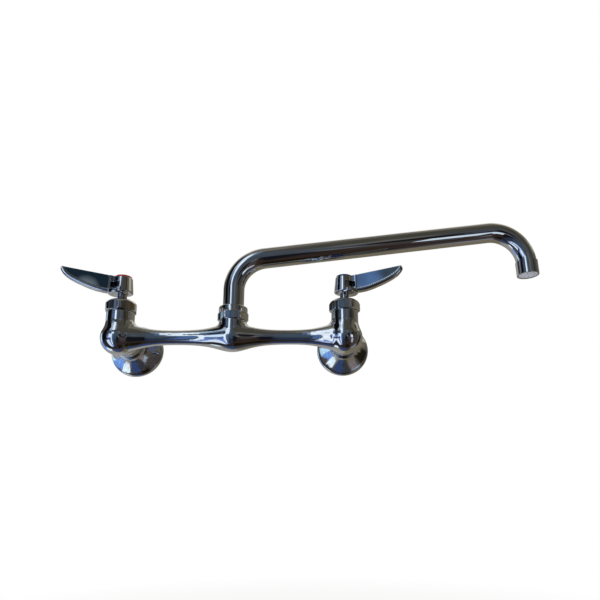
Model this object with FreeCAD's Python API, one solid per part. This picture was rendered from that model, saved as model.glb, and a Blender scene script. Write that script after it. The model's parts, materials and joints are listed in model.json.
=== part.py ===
import FreeCAD, Part
import math
import os

# A wall-mounted two-handle faucet with a swing spout, for supply pipes at 8 inch centres.
# Lengths are millimetres and angles are degrees.
# The origin lies on the wall midway between the two supply pipes, +X runs to the right,
# +Y runs into the wall and +Z is up. Heights are counted from the axis of the body's arm,
# and depths from the wall towards the user.

# Main places
INLET_CENTRES = 203.2
WALL_TO_AXIS = 53.0

# Running and seating clearances
TURN_GAP = 0.06
SEAT_GAP = 0.05
SLIP_GAP = 0.10
THREAD_GAP = 0.10

# Body casting: valve pots, outlet riser and arm
BULB_R = 15.8
BULB_LEAVE_ANGLE = 10.0
BULB_LEAD = 3.2
BULB_SIDE_ANGLE = -40.0
POT_R = 12.3
POT_NECK_Z = 15.0
POT_NECK_LEAD = 6.0
POT_TOP = 23.8
RISER_R = 12.2
RISER_TOP = 15.0
THREAD_RISE = 5.0
THREAD_R = 10.8
POT_BORE_R = 9.1
GALLERY_R = 10.3
GALLERY_LOW = 5.6
GALLERY_HIGH = 15.4
SEAT_TOP = 1.5
SEAT_WEB = 2.5
SEAT_PORT_R = 5.0
CHAMBER_R = 8.0
CHAMBER_LOW = -10.5
ARM_BORE_R = 3.6
ARM_DROP_Z = 8.3
ARM_DROP_RUN = 21.0
ARM_DROP_INSET = 1.8
SPIGOT_BORE_LOW = 4.0
EDGE_BREAK = 0.6
FUSE_OVERLAP = 0.2
OVERCUT = 1.0

# Radii of the arm. The swell is placed from the middle, the root from the valve's axis.
ARM_SWELL = ((0.0, 13.2), (11.0, 11.3), (19.0, 9.2), (34.0, 7.1))
ARM_ROOT = ((48.6, 6.6), (31.6, 7.5), (21.0, 9.5), (12.0, 11.9), (4.0, 13.4))
ROOT_FILLET = 8.0
RISER_FILLET = 6.0
NECK_FILLET = 2.5

# Inlet necks at the back of the body
NECK_R = 12.0
SPIGOT_R = 7.9
SPIGOT_END = 14.6
INLET_BORE_R = 5.0
INLET_BORE_END = 39.5
DROP_BORE_R = 3.7
DROP_BORE_Z = -5.0
DROP_BORE_START = 29.0

# Wall flanges, each a swivel nut for half inch pipe
FLANGE_R = 25.4
FLANGE_RIM = 1.0
FLANGE_BROW_IN = 1.9
FLANGE_BROW_RISE = 3.9
FLANGE_WALL = 2.2
HUB_R = 13.6
HUB_BACK = 20.0
HUB_FRONT = 24.6
HUB_EDGE = 0.9
CONE_HOLLOW = 0.4
PIPE_THREAD_R = 9.1
PIPE_THREAD_LENGTH = 12.4
PIPE_RELIEF_R = 9.6
LIP_BACK = 18.2
SOCKET_WALL_R = 13.0
SNAP_RING_T = 1.0
SNAP_RING_R = 8.95
SNAP_RING_SPLIT = 2.0
SNAP_GROOVE_R = 7.1
INLET_WASHER_T = 2.0
INLET_WASHER_BORE = 5.4

# Ceramic disc cartridges
GASKET_R = 7.6
GASKET_BORE = 5.4
GASKET_T = 2.6
GASKET_BITE = 1.4
BARREL_R = 9.0
DISC_BORE_R = 7.8
FIXED_DISC_R = 7.7
FIXED_DISC_T = 3.2
MOVING_DISC_R = 7.5
MOVING_DISC_T = 3.0
DISC_FILM = 0.02
DISC_PORT_IN = 1.6
DISC_PORT_OUT = 6.2
DISC_PORT_SPAN = 78.0
DISC_KEY_W = 3.0
DISC_KEY_DEPTH = 1.4
DISC_KEY_LENGTH = 9.4
WINDOW_LOW = 10.6
WINDOW_HIGH = 14.4
WINDOW_W = 9.0
PISTON_LOW = 15.2
PISTON_HIGH = 21.6
PISTON_R = 6.3
STEM_R = 4.2
SHOULDER_R = 10.5
SHOULDER_T = 1.9
COLLAR_R = 6.2
COLLAR_TOP = 35.0
BARREL_RING_Z = 21.0
STEM_RING_Z = 18.4
RING_WIRE_R = 0.9

# Stem top, where the lever seats
CLIP_T = 0.7
CLIP_R = 5.6
CLIP_GROOVE_R = 3.5
CLIP_MOUTH = 4.9
SPLINE_COUNT = 12
SPLINE_TIP_R = 3.95
SPLINE_ROOT_R = 3.45
SPLINE_START = 42.8
STEM_TOP = 49.4
SCREW_HOLE_DEPTH = 9.0

# Hexagonal nuts
NUT_FLATS = 25.4
NUT_CORNER_R = 14.2
NUT_TOP = 34.8
NUT_SHOULDER_DROP = 4.6
NUT_CROWN_R = 7.0
NUT_BULGE_OUT = 0.9
NUT_BULGE_UP = 1.2
NUT_FOOT_CHAMFER = 0.7
HOT_NUT_TURN = 44.0
COLD_NUT_TURN = 58.5
SPOUT_NUT_FLATS = 24.2
SPOUT_NUT_CORNER_R = 13.9
SPOUT_NUT_TOP = 28.2
SPOUT_NUT_HEX_TOP = 21.8
SPOUT_NUT_BAND_R = 13.0
SPOUT_NUT_BAND_ROUND = 1.6

# Lever handles
HUB_LOW = 41.9
HUB_LOW_R = 9.4
HUB_HIGH_R = 8.1
HUB_TOP = 56.7
HUB_ROUND = 0.9
SOCKET_ROOF = 0.4
WEB_T = 2.2
CUP_R = 6.2
LEVER_TIP = 54.4
LEVER_ROOT = 10.7
LEVER_HALF_W = 4.3
LEVER_TIP_HALF_W = 3.2
LEVER_NECK_HALF_W = 4.1
POCKET_START = 2.0
POCKET_END = 10.3
POCKET_CORE_R = 6.8
POCKET_WEB_T = 3.2
POCKET_LOW = 46.4
POCKET_HIGH = 51.5
LEVER_TOP_ROOT_Z = 56.6
LEVER_TOP_TIP_Z = 64.5
LEVER_TIP_FACE_Z = 61.8
LEVER_TIP_SET_BACK = 1.6
# Underside of the lever: distance from the stem's axis, rise above the hub's foot
LEVER_BELLY = ((2.0, 0.0), (12.0, 0.1), (22.0, 1.5), (33.0, 5.1), (45.0, 10.6), (52.0, 16.0))
BELLY_FILLET = 2.2
TOP_FILLET = 0.5
PANEL_DEPTH = 0.7
PANEL_FRAME = 0.9
PANEL_TIP_FRAME = 2.0
PANEL_LOW_FRAME = 2.6
NECK_BLEND = 3.0
PAD_R = 8.8
PAD_REACH = 3.9
PAD_T = 3.6
PAD_DROP = 1.3
PAD_ROUND = 1.1
LEVER_SWING = 10.5

# Handle screws and index buttons
SCREW_R = 1.9
SCREW_HEAD_R = 3.5
SCREW_HEAD_T = 2.0
SCREW_LENGTH = 9.6
SCREW_SLOT_W = 0.9
SCREW_SLOT_DEPTH = 1.1
BUTTON_R = 7.2
BUTTON_RIM_T = 1.5
BUTTON_RIM_ROUND = 0.5
BUTTON_DOME = 0.5
BUTTON_PLUG_R = 6.1
BUTTON_SKIRT_T = 1.0

# Spout: a bent tube with a turned foot and an outlet ferrule
TUBE_R = 9.525
TUBE_WALL = 0.9
TUBE_BEND_START = 44.8
FIRST_BEND_R = 32.7
RUN_RISE = 8.2
RUN_LENGTH = 217.9
LAST_BEND_R = 32.2
OUTLET_TILT = 2.0
OUTLET_LENGTH = 12.6
SPOUT_SWING = 3.0
SLIP_WASHER_T = 1.0
FOOT_COLLAR_R = 10.5
FOOT_COLLAR_T = 2.3
FOOT_REGISTER_H = 7.0
FOOT_R = 8.4
FOOT_BORE_R = 5.5
FOOT_LOW = 5.4
FOOT_RING_Z = (9.6, 14.6)
FOOT_RING_WIRE_R = 0.9
SOCKET_BORE_R = 8.46
SOCKET_LOW = 4.4

# Outlet
FERRULE_R = 10.4
FERRULE_LENGTH = 14.0
FERRULE_EDGE = 0.5
FORMER_T = 2.6
FORMER_RECESS = 0.6
FORMER_LIP = 0.7
FORMER_HOLE_R = 0.75
FORMER_ROWS = ((3.2, 6), (6.4, 12))

# How edges are picked for rounding
CREASE_ANGLE = 6.0
SHORT_EDGE = 1.0
PICK_MARGIN = 1.0
NEAR = 0.1

Vector = FreeCAD.Vector
ALONG_X = Vector(1, 0, 0)
ALONG_Z = Vector(0, 0, 1)
ORIGIN = Vector(0, 0, 0)
HALF_CENTRES = INLET_CENTRES / 2
POT_RIM = POT_TOP + THREAD_RISE
RISER_RIM = RISER_TOP + THREAD_RISE
GASKET_TOP = SEAT_TOP + GASKET_T
FIXED_DISC_TOP = GASKET_TOP + FIXED_DISC_T
MOVING_DISC_LOW = FIXED_DISC_TOP + DISC_FILM
MOVING_DISC_TOP = MOVING_DISC_LOW + MOVING_DISC_T
SHOULDER_TOP = POT_RIM + SHOULDER_T
CLIP_LOW = COLLAR_TOP + SEAT_GAP
CUP_FLOOR = STEM_TOP + SOCKET_ROOF + WEB_T


def turned(outline, x=0.0, y=-WALL_TO_AXIS):
    """A solid of revolution about the vertical line at x, y from (radius, height) corners."""
    corners = [Vector(radius, 0, height) for radius, height in outline]
    face = Part.Face(Part.makePolygon(corners + corners[:1]))
    solid = face.revolve(ORIGIN, ALONG_Z, 360)
    solid.translate(Vector(x, y, 0))
    return solid


def turned_edges(edges, x=0.0, y=-WALL_TO_AXIS):
    """The same for an outline that is given as lines, arcs and curves in the XZ plane."""
    solid = Part.Face(Part.Wire(edges)).revolve(ORIGIN, ALONG_Z, 360)
    solid.translate(Vector(x, y, 0))
    return solid


def post(radius, low, high, x=0.0, y=-WALL_TO_AXIS):
    """A plain vertical cylinder between two heights."""
    return Part.makeCylinder(radius, high - low, Vector(x, y, low), ALONG_Z)


def tube_ring(outer, inner, low, high, x=0.0, y=-WALL_TO_AXIS):
    """A plain vertical ring between two heights."""
    return turned([(inner, low), (outer, low), (outer, high), (inner, high)], x, y)


def rubber_ring(middle_r, wire_r, height, x=0.0):
    """An O-ring about a vertical axis."""
    return Part.makeTorus(middle_r, wire_r, Vector(x, -WALL_TO_AXIS, height), ALONG_Z)


def laid_back(shape, x):
    """Stand a shape that was turned about Z on the wall, so its heights become depths."""
    shape.rotate(ORIGIN, ALONG_X, 90)
    shape.translate(Vector(x, 0, 0))
    return shape


def line(start, end):
    return Part.LineSegment(start, end).toShape()


def arc(start, middle, end):
    return Part.Arc(start, middle, end).toShape()


def curve(points):
    """A smooth curve through the points."""
    spline = Part.BSplineCurve()
    spline.interpolate(points)
    return spline.toShape()


def crease_edges(solid, keep):
    """The edges where two faces meet at an angle and whose middle passes the test keep."""
    found = []
    for edge in solid.Edges:
        faces = solid.ancestorsOfType(edge, Part.Face)
        if len(faces) != 2 or edge.Length < SHORT_EDGE:
            continue
        middle = edge.valueAt((edge.FirstParameter + edge.LastParameter) / 2)
        normals = [face.normalAt(*face.Surface.parameter(middle)) for face in faces]
        if normals[0].getAngle(normals[1]) > math.radians(CREASE_ANGLE) and keep(middle, edge):
            found.append(edge)
    return found


def arm_blank():
    """The arm of the body: turned about its length, swollen in the middle and at its roots."""
    half = [(x, radius) for x, radius in ARM_SWELL]
    half += [(HALF_CENTRES - back, radius) for back, radius in ARM_ROOT]
    stations = [(-x, radius) for x, radius in reversed(half[1:])] + half
    outline = curve([Vector(x, 0, radius) for x, radius in stations])
    first = Vector(stations[0][0], 0, 0)
    last = Vector(stations[-1][0], 0, 0)
    ends = [line(first, Vector(first.x, 0, stations[0][1])),
            line(Vector(last.x, 0, stations[-1][1]), last)]
    face = Part.Face(Part.Wire([ends[0], outline, ends[1], line(last, first)]))
    solid = face.revolve(ORIGIN, ALONG_X, 360)
    solid.translate(Vector(0, -WALL_TO_AXIS, 0))
    return solid


def valve_pot(x):
    """The outside of one valve pot: a round bulb that draws in to a straight, threaded top."""
    leave = math.radians(BULB_LEAVE_ANGLE)
    foot = Vector(0, 0, -BULB_R)
    flank = math.radians(BULB_SIDE_ANGLE)
    side = Vector(BULB_R * math.cos(flank), 0, BULB_R * math.sin(flank))
    start = Vector(BULB_R * math.cos(leave), 0, BULB_R * math.sin(leave))
    lead = start + Vector(-math.sin(leave), 0, math.cos(leave)) * BULB_LEAD
    waist = Part.BezierCurve()
    waist.setPoles([start, lead, Vector(POT_R, 0, POT_NECK_Z - POT_NECK_LEAD),
                    Vector(POT_R, 0, POT_NECK_Z)])
    rim = POT_TOP - EDGE_BREAK / 2
    corners = [Vector(POT_R, 0, POT_NECK_Z), Vector(POT_R, 0, rim),
               Vector(POT_R - EDGE_BREAK / 2, 0, POT_TOP), Vector(THREAD_R, 0, POT_TOP),
               Vector(THREAD_R, 0, POT_RIM - EDGE_BREAK),
               Vector(THREAD_R - EDGE_BREAK, 0, POT_RIM), Vector(0, 0, POT_RIM), foot]
    edges = [arc(foot, side, start), waist.toShape()]
    edges += [line(a, b) for a, b in zip(corners, corners[1:])]
    return turned_edges(edges, x)


def outlet_riser():
    """The outside of the middle riser, with the thread for the spout nut."""
    return turned([(0, 0), (RISER_R, 0), (RISER_R, RISER_TOP - EDGE_BREAK / 2),
                   (RISER_R - EDGE_BREAK / 2, RISER_TOP), (THREAD_R, RISER_TOP),
                   (THREAD_R, RISER_RIM - EDGE_BREAK), (THREAD_R - EDGE_BREAK, RISER_RIM),
                   (0, RISER_RIM)])


def inlet_neck(x):
    """The neck behind a valve pot, stepped down to the spigot that carries the wall flange."""
    shoulder = HUB_FRONT + SLIP_GAP
    groove_low = LIP_BACK - SEAT_GAP - SNAP_RING_T
    return laid_back(turned([
        (0, SPIGOT_END), (SPIGOT_R - EDGE_BREAK, SPIGOT_END),
        (SPIGOT_R, SPIGOT_END + EDGE_BREAK), (SPIGOT_R, groove_low - SEAT_GAP),
        (SNAP_GROOVE_R, groove_low - SEAT_GAP), (SNAP_GROOVE_R, LIP_BACK),
        (SPIGOT_R, LIP_BACK), (SPIGOT_R, shoulder), (NECK_R - EDGE_BREAK, shoulder),
        (NECK_R, shoulder + EDGE_BREAK), (NECK_R, WALL_TO_AXIS), (0, WALL_TO_AXIS)],
        y=0.0), x)


def valve_waterway(x):
    """What is hollow in one valve pot: chamber, seat port, cartridge bore, gallery, inlet."""
    side = math.copysign(1, x)
    seat_low = SEAT_TOP - SEAT_WEB
    pot = turned([(0, CHAMBER_LOW), (CHAMBER_R, CHAMBER_LOW), (CHAMBER_R, seat_low),
                  (SEAT_PORT_R, seat_low), (SEAT_PORT_R, SEAT_TOP), (POT_BORE_R, SEAT_TOP),
                  (POT_BORE_R, GALLERY_LOW), (GALLERY_R, GALLERY_LOW),
                  (GALLERY_R, GALLERY_HIGH), (POT_BORE_R, GALLERY_HIGH),
                  (POT_BORE_R, POT_RIM), (0, POT_RIM)], x)
    inlet = laid_back(post(INLET_BORE_R, SPIGOT_END, INLET_BORE_END, y=0), x)
    drop = laid_back(post(DROP_BORE_R, DROP_BORE_START, WALL_TO_AXIS, y=DROP_BORE_Z), x)
    start = Vector(x - side * (POT_BORE_R - ARM_DROP_INSET), -WALL_TO_AXIS, ARM_DROP_Z)
    end = Vector(x - side * (POT_BORE_R + ARM_DROP_RUN), -WALL_TO_AXIS, 0)
    slope = end - start
    outlet = Part.makeCylinder(ARM_BORE_R, slope.Length, start, slope)
    knee = Part.makeSphere(ARM_BORE_R, end)
    return [pot, inlet, drop, outlet, knee]


def body_casting():
    """The forged body in one piece, with its waterways."""
    solid = arm_blank()
    solid = solid.fuse([valve_pot(-HALF_CENTRES), valve_pot(HALF_CENTRES), outlet_riser()])
    roots = crease_edges(solid, lambda p, e: abs(p.x) > HALF_CENTRES / 2 and
                         e.BoundBox.ZMax < POT_TOP - PICK_MARGIN and
                         e.BoundBox.XLength > 2 * PICK_MARGIN)
    solid = solid.makeFillet(ROOT_FILLET, roots)
    middle = crease_edges(solid, lambda p, e: abs(p.x) < HALF_CENTRES / 3 and
                          e.BoundBox.ZMax < RISER_TOP - PICK_MARGIN)
    solid = solid.makeFillet(RISER_FILLET, middle)
    solid = solid.fuse([inlet_neck(-HALF_CENTRES), inlet_neck(HALF_CENTRES)])
    necks = crease_edges(solid, lambda p, e: abs(abs(p.x) - HALF_CENTRES) < NECK_R + PICK_MARGIN and
                         WALL_TO_AXIS - BULB_R < -p.y < WALL_TO_AXIS - BULB_R / 2)
    solid = solid.makeFillet(NECK_FILLET, necks)
    knee_x = HALF_CENTRES - POT_BORE_R - ARM_DROP_RUN
    hollows = [Part.makeCylinder(ARM_BORE_R, 2 * knee_x, Vector(-knee_x, -WALL_TO_AXIS, 0),
                                 ALONG_X),
               post(SOCKET_BORE_R, SOCKET_LOW, RISER_RIM),
               post(FOOT_BORE_R, 0, SOCKET_LOW)]
    hollows += valve_waterway(-HALF_CENTRES) + valve_waterway(HALF_CENTRES)
    return solid.cut(hollows)


def wall_flange(x):
    """A bell-shaped flange whose socket takes the supply pipe and whose lip holds the spigot."""
    lip_r = SPIGOT_R + SLIP_GAP
    rim = Vector(FLANGE_R, 0, FLANGE_RIM)
    brow = rim + Vector(-FLANGE_BROW_IN, 0, FLANGE_BROW_RISE)
    round_r = (brow - rim).Length ** 2 / (2 * FLANGE_BROW_IN)
    turn = math.atan2(FLANGE_BROW_RISE, round_r - FLANGE_BROW_IN) / 2
    rim_middle = rim + Vector(math.cos(turn) - 1, 0, math.sin(turn)) * round_r
    cone_high = Vector(HUB_R, 0, HUB_BACK)
    across = Vector(cone_high.z - brow.z, 0, brow.x - cone_high.x).normalize()
    cone_middle = (brow + cone_high) * 0.5 - across * CONE_HOLLOW
    back_low = Vector(FLANGE_R - FLANGE_WALL, 0, 0)
    back_high = Vector(SOCKET_WALL_R, 0, HUB_BACK - 2 * FLANGE_WALL)
    corners = [cone_high, Vector(HUB_R, 0, HUB_FRONT - HUB_EDGE),
               Vector(HUB_R - HUB_EDGE, 0, HUB_FRONT), Vector(lip_r, 0, HUB_FRONT),
               Vector(lip_r, 0, LIP_BACK), Vector(PIPE_RELIEF_R, 0, LIP_BACK),
               Vector(PIPE_RELIEF_R, 0, PIPE_THREAD_LENGTH),
               Vector(PIPE_THREAD_R, 0, PIPE_THREAD_LENGTH),
               Vector(PIPE_THREAD_R, 0, 0), Vector(SOCKET_WALL_R, 0, 0), back_high,
               back_low, Vector(FLANGE_R, 0, 0), rim]
    edges = [line(a, b) for a, b in zip(corners, corners[1:])]
    edges += [arc(rim, rim_middle, brow), arc(brow, cone_middle, cone_high)]
    return laid_back(turned_edges(edges, y=0.0), x)


def snap_ring(x):
    """The split ring in the spigot's groove, which keeps the flange on the neck."""
    high = LIP_BACK - SEAT_GAP
    ring = tube_ring(SNAP_RING_R, SNAP_GROOVE_R + SEAT_GAP, high - SNAP_RING_T, high, y=0)
    split = Part.makeBox(SNAP_RING_SPLIT, 2 * SNAP_RING_R, 3 * SNAP_RING_T,
                         Vector(-SNAP_RING_SPLIT / 2, 0, high - 2 * SNAP_RING_T))
    return laid_back(ring.cut(split), x)


def inlet_washer(x):
    """The flat washer that the supply pipe's end is drawn against."""
    high = SPIGOT_END - SEAT_GAP
    outer = PIPE_RELIEF_R - SLIP_GAP
    return laid_back(tube_ring(outer, INLET_WASHER_BORE, high - INLET_WASHER_T, high, y=0), x)


def seat_gasket(x):
    return tube_ring(GASKET_R, GASKET_BORE, SEAT_TOP, GASKET_TOP, x)


def sector(angle, low, high, x):
    """A curved port through a disc, centred on the angle."""
    half = math.radians(DISC_PORT_SPAN / 2)
    middle = math.radians(angle)

    def at(radius, turn):
        return Vector(radius * math.cos(middle + turn), radius * math.sin(middle + turn), low)

    outer = arc(at(DISC_PORT_OUT, -half), at(DISC_PORT_OUT, 0), at(DISC_PORT_OUT, half))
    inner = arc(at(DISC_PORT_IN, half), at(DISC_PORT_IN, 0), at(DISC_PORT_IN, -half))
    wire = Part.Wire([outer, line(at(DISC_PORT_OUT, half), at(DISC_PORT_IN, half)), inner,
                      line(at(DISC_PORT_IN, -half), at(DISC_PORT_OUT, -half))])
    port = Part.Face(wire).extrude(Vector(0, 0, high - low))
    port.translate(Vector(x, -WALL_TO_AXIS, 0))
    return port


def fixed_disc(x):
    """The lower ceramic disc, with a port at the front and one at the back."""
    disc = post(FIXED_DISC_R, GASKET_TOP, FIXED_DISC_TOP, x)
    return disc.cut([sector(angle, GASKET_TOP - OVERCUT, FIXED_DISC_TOP + OVERCUT, x)
                     for angle in (90, -90)])


def drive_key(width, depth_low, depth_high, x):
    """The bar across the axis by which the stem turns the moving disc."""
    length = DISC_KEY_LENGTH
    return Part.makeBox(width, length, depth_high - depth_low,
                        Vector(x - width / 2, -WALL_TO_AXIS - length / 2, depth_low))


def moving_disc(x):
    """The upper disc: its ports lie a quarter turn from the fixed ones when the valve is shut."""
    disc = post(MOVING_DISC_R, MOVING_DISC_LOW, MOVING_DISC_TOP, x)
    ports = [sector(angle, MOVING_DISC_LOW - OVERCUT, MOVING_DISC_TOP + OVERCUT, x) for angle in (0, 180)]
    slot = drive_key(DISC_KEY_W, MOVING_DISC_TOP - DISC_KEY_DEPTH, MOVING_DISC_TOP + OVERCUT, x)
    return disc.cut(ports + [slot])


def cartridge_body(x):
    """The brass shell of the cartridge, open at the bottom for the discs, with two windows."""
    bottom = GASKET_TOP - GASKET_BITE
    bite = GASKET_R + SLIP_GAP
    piston_bore = PISTON_R + TURN_GAP
    stem_bore = STEM_R + TURN_GAP
    groove = POT_BORE_R - 2 * RING_WIRE_R - 2 * SEAT_GAP
    ring_low = BARREL_RING_Z - RING_WIRE_R - SEAT_GAP
    ring_high = BARREL_RING_Z + RING_WIRE_R + SEAT_GAP
    shell = turned([
        (DISC_BORE_R, bottom), (BARREL_R, bottom), (BARREL_R, ring_low), (groove, ring_low),
        (groove, ring_high), (BARREL_R, ring_high), (BARREL_R, POT_RIM),
        (SHOULDER_R, POT_RIM), (SHOULDER_R, SHOULDER_TOP), (COLLAR_R, SHOULDER_TOP),
        (COLLAR_R, COLLAR_TOP - EDGE_BREAK), (COLLAR_R - EDGE_BREAK, COLLAR_TOP),
        (stem_bore, COLLAR_TOP), (stem_bore, PISTON_HIGH + SEAT_GAP),
        (piston_bore, PISTON_HIGH + SEAT_GAP), (piston_bore, WINDOW_HIGH),
        (max(bite, DISC_BORE_R), WINDOW_HIGH)], x)
    windows = Part.makeBox(4 * BARREL_R, WINDOW_W, WINDOW_HIGH - WINDOW_LOW,
                           Vector(x - 2 * BARREL_R, -WALL_TO_AXIS - WINDOW_W / 2, WINDOW_LOW))
    return shell.cut(windows)


def barrel_o_ring(x):
    middle = POT_BORE_R - SEAT_GAP - RING_WIRE_R
    return rubber_ring(middle, RING_WIRE_R, BARREL_RING_Z, x)


def spline_outline(tip_r, root_r, low):
    """A closed ring of straight-sided teeth."""
    points = []
    pitch = 2 * math.pi / SPLINE_COUNT
    for tooth in range(SPLINE_COUNT):
        for share, radius in ((-0.30, root_r), (-0.14, tip_r), (0.14, tip_r), (0.30, root_r)):
            angle = (tooth + share) * pitch
            points.append(Vector(radius * math.cos(angle), radius * math.sin(angle), low))
    return Part.Face(Part.makePolygon(points + points[:1]))


def splined(tip_r, root_r, low, high, x):
    shape = spline_outline(tip_r, root_r, low).extrude(Vector(0, 0, high - low))
    shape.translate(Vector(x, -WALL_TO_AXIS, 0))
    return shape


def stem(x):
    """The stem: a drive bar below, a sealed piston, a plain neck and a splined, tapped top."""
    groove = PISTON_R + TURN_GAP - 2 * RING_WIRE_R - 2 * SEAT_GAP
    ring_low = STEM_RING_Z - RING_WIRE_R - SEAT_GAP
    ring_high = STEM_RING_Z + RING_WIRE_R + SEAT_GAP
    clip_high = CLIP_LOW + CLIP_T + SEAT_GAP
    shaft = turned([
        (0, PISTON_LOW), (PISTON_R, PISTON_LOW), (PISTON_R, ring_low), (groove, ring_low),
        (groove, ring_high), (PISTON_R, ring_high), (PISTON_R, PISTON_HIGH),
        (STEM_R, PISTON_HIGH), (STEM_R, CLIP_LOW), (CLIP_GROOVE_R, CLIP_LOW),
        (CLIP_GROOVE_R, clip_high), (STEM_R, clip_high), (STEM_R, SPLINE_START),
        (0, SPLINE_START)], x)
    top = splined(SPLINE_TIP_R, SPLINE_ROOT_R, SPLINE_START - FUSE_OVERLAP, STEM_TOP, x)
    key = drive_key(DISC_KEY_W - SLIP_GAP, MOVING_DISC_TOP - DISC_KEY_DEPTH + SEAT_GAP,
                    PISTON_LOW + FUSE_OVERLAP, x)
    hole = post(SCREW_R, STEM_TOP - SCREW_HOLE_DEPTH, STEM_TOP + OVERCUT, x)
    return shaft.fuse([top, key]).cut(hole)


def stem_o_ring(x):
    middle = PISTON_R + TURN_GAP - SEAT_GAP - RING_WIRE_R
    return rubber_ring(middle, RING_WIRE_R, STEM_RING_Z, x)


def stem_clip(x):
    """The open clip that keeps the stem from dropping into the cartridge."""
    ring = tube_ring(CLIP_R, CLIP_GROOVE_R + SEAT_GAP, CLIP_LOW, CLIP_LOW + CLIP_T, x)
    gap = Part.makeBox(CLIP_MOUTH, 2 * CLIP_R, 3 * CLIP_T,
                       Vector(x - CLIP_MOUTH / 2, -WALL_TO_AXIS, CLIP_LOW - CLIP_T))
    return ring.cut(gap)


def hex_nut(flats, form, low, top, turn, hollow, x):
    """A hexagonal bar trimmed to a turned form, with a stepped hole."""
    across = flats / math.sqrt(3)
    corners = []
    for step in range(6):
        angle = math.radians(turn + 60 * step)
        corners.append(Vector(x + across * math.cos(angle),
                              across * math.sin(angle) - WALL_TO_AXIS, low))
    prism = Part.Face(Part.makePolygon(corners + corners[:1])).extrude(Vector(0, 0, top - low))
    return prism.common(form).cut(turned(hollow, x))


def bonnet_nut(x, turn):
    """The domed nut that clamps the cartridge's shoulder on the valve pot."""
    low = POT_TOP + SEAT_GAP
    thread = THREAD_R + THREAD_GAP
    roof = SHOULDER_TOP + SEAT_GAP
    hole = COLLAR_R + SLIP_GAP
    heel = Vector(NUT_CORNER_R - 2 * NUT_FOOT_CHAMFER, 0, low)
    foot = Vector(NUT_CORNER_R, 0, low + NUT_FOOT_CHAMFER)
    shoulder = Vector(NUT_CORNER_R, 0, NUT_TOP - NUT_SHOULDER_DROP)
    crown = Vector(NUT_CROWN_R, 0, NUT_TOP)
    bulge = (shoulder + crown) * 0.5 + Vector(NUT_BULGE_OUT, 0, NUT_BULGE_UP)
    form = turned_edges([line(Vector(0, 0, low), heel), line(heel, foot), line(foot, shoulder),
                         arc(shoulder, bulge, crown), line(crown, Vector(0, 0, NUT_TOP)),
                         line(Vector(0, 0, NUT_TOP), Vector(0, 0, low))], x)
    hollow = [(0, low - OVERCUT), (thread, low - OVERCUT), (thread, roof), (hole, roof),
              (hole, NUT_TOP + OVERCUT), (0, NUT_TOP + OVERCUT)]
    return hex_nut(NUT_FLATS, form, low, NUT_TOP, turn, hollow, x)


def lever_side(reach_start, half_width):
    """The lever's side outline from a distance off the stem outwards, as a bar."""
    belly = [Vector(r, -half_width, HUB_LOW + rise) for r, rise in LEVER_BELLY]
    tip_low = Vector(LEVER_TIP, -half_width, LEVER_TIP_FACE_Z)
    tip_high = Vector(LEVER_TIP - LEVER_TIP_SET_BACK, -half_width, LEVER_TOP_TIP_Z)
    root = Vector(belly[0].x, -half_width, LEVER_TOP_ROOT_Z)
    under = curve(belly + [tip_low])
    face = Part.Face(Part.Wire([under, line(tip_low, tip_high), line(tip_high, root),
                                line(root, belly[0])]))
    keep = Part.makeBox(LEVER_TIP, 4 * half_width, 2 * LEVER_TOP_TIP_Z,
                        Vector(reach_start, -2 * half_width, 0))
    return face.extrude(Vector(0, 2 * half_width, 0)).common(keep)


def lever_plan(inset):
    """The blade's tapering plan as a tall block, drawn in by the inset on both sides."""
    low = HUB_LOW - OVERCUT
    root = LEVER_HALF_W - inset
    tip = LEVER_TIP_HALF_W - inset
    plan = [Vector(LEVER_ROOT, -root, low), Vector(LEVER_TIP, -tip, low),
            Vector(LEVER_TIP, tip, low), Vector(LEVER_ROOT, root, low)]
    return Part.Face(Part.makePolygon(plan + plan[:1])).extrude(Vector(0, 0, LEVER_TOP_TIP_Z))


def lever_blade():
    """The blade: a rounded belly, and a shallow panel let into each side."""
    blade = lever_side(LEVER_ROOT, 2 * LEVER_HALF_W).common(lever_plan(0.0))
    side = LEVER_TIP_HALF_W / 2
    long_edge = (LEVER_TIP - LEVER_ROOT) / 4
    tall_edge = (LEVER_TOP_ROOT_Z - HUB_LOW) / 2
    under = crease_edges(blade, lambda p, e: abs(p.y) > side and
                         e.BoundBox.XLength > long_edge and p.z < LEVER_TOP_ROOT_Z)
    blade = blade.makeFillet(BELLY_FILLET, under)
    edges = crease_edges(blade, lambda p, e: abs(p.y) > side and e.BoundBox.XLength < NEAR and
                         p.x < LEVER_ROOT + NEAR and e.BoundBox.ZLength > tall_edge)
    blade = blade.makeFillet(TOP_FILLET, edges)
    panels = lever_side(LEVER_ROOT + PANEL_FRAME, 2 * LEVER_HALF_W)
    panels.translate(Vector(-PANEL_TIP_FRAME, 0, PANEL_LOW_FRAME))
    root = Part.makeBox(PANEL_FRAME + PANEL_TIP_FRAME, 4 * LEVER_HALF_W, 2 * LEVER_TOP_TIP_Z,
                        Vector(LEVER_ROOT - PANEL_TIP_FRAME, -2 * LEVER_HALF_W, 0))
    return blade.cut(panels.cut([root, lever_plan(PANEL_DEPTH)]))


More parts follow.
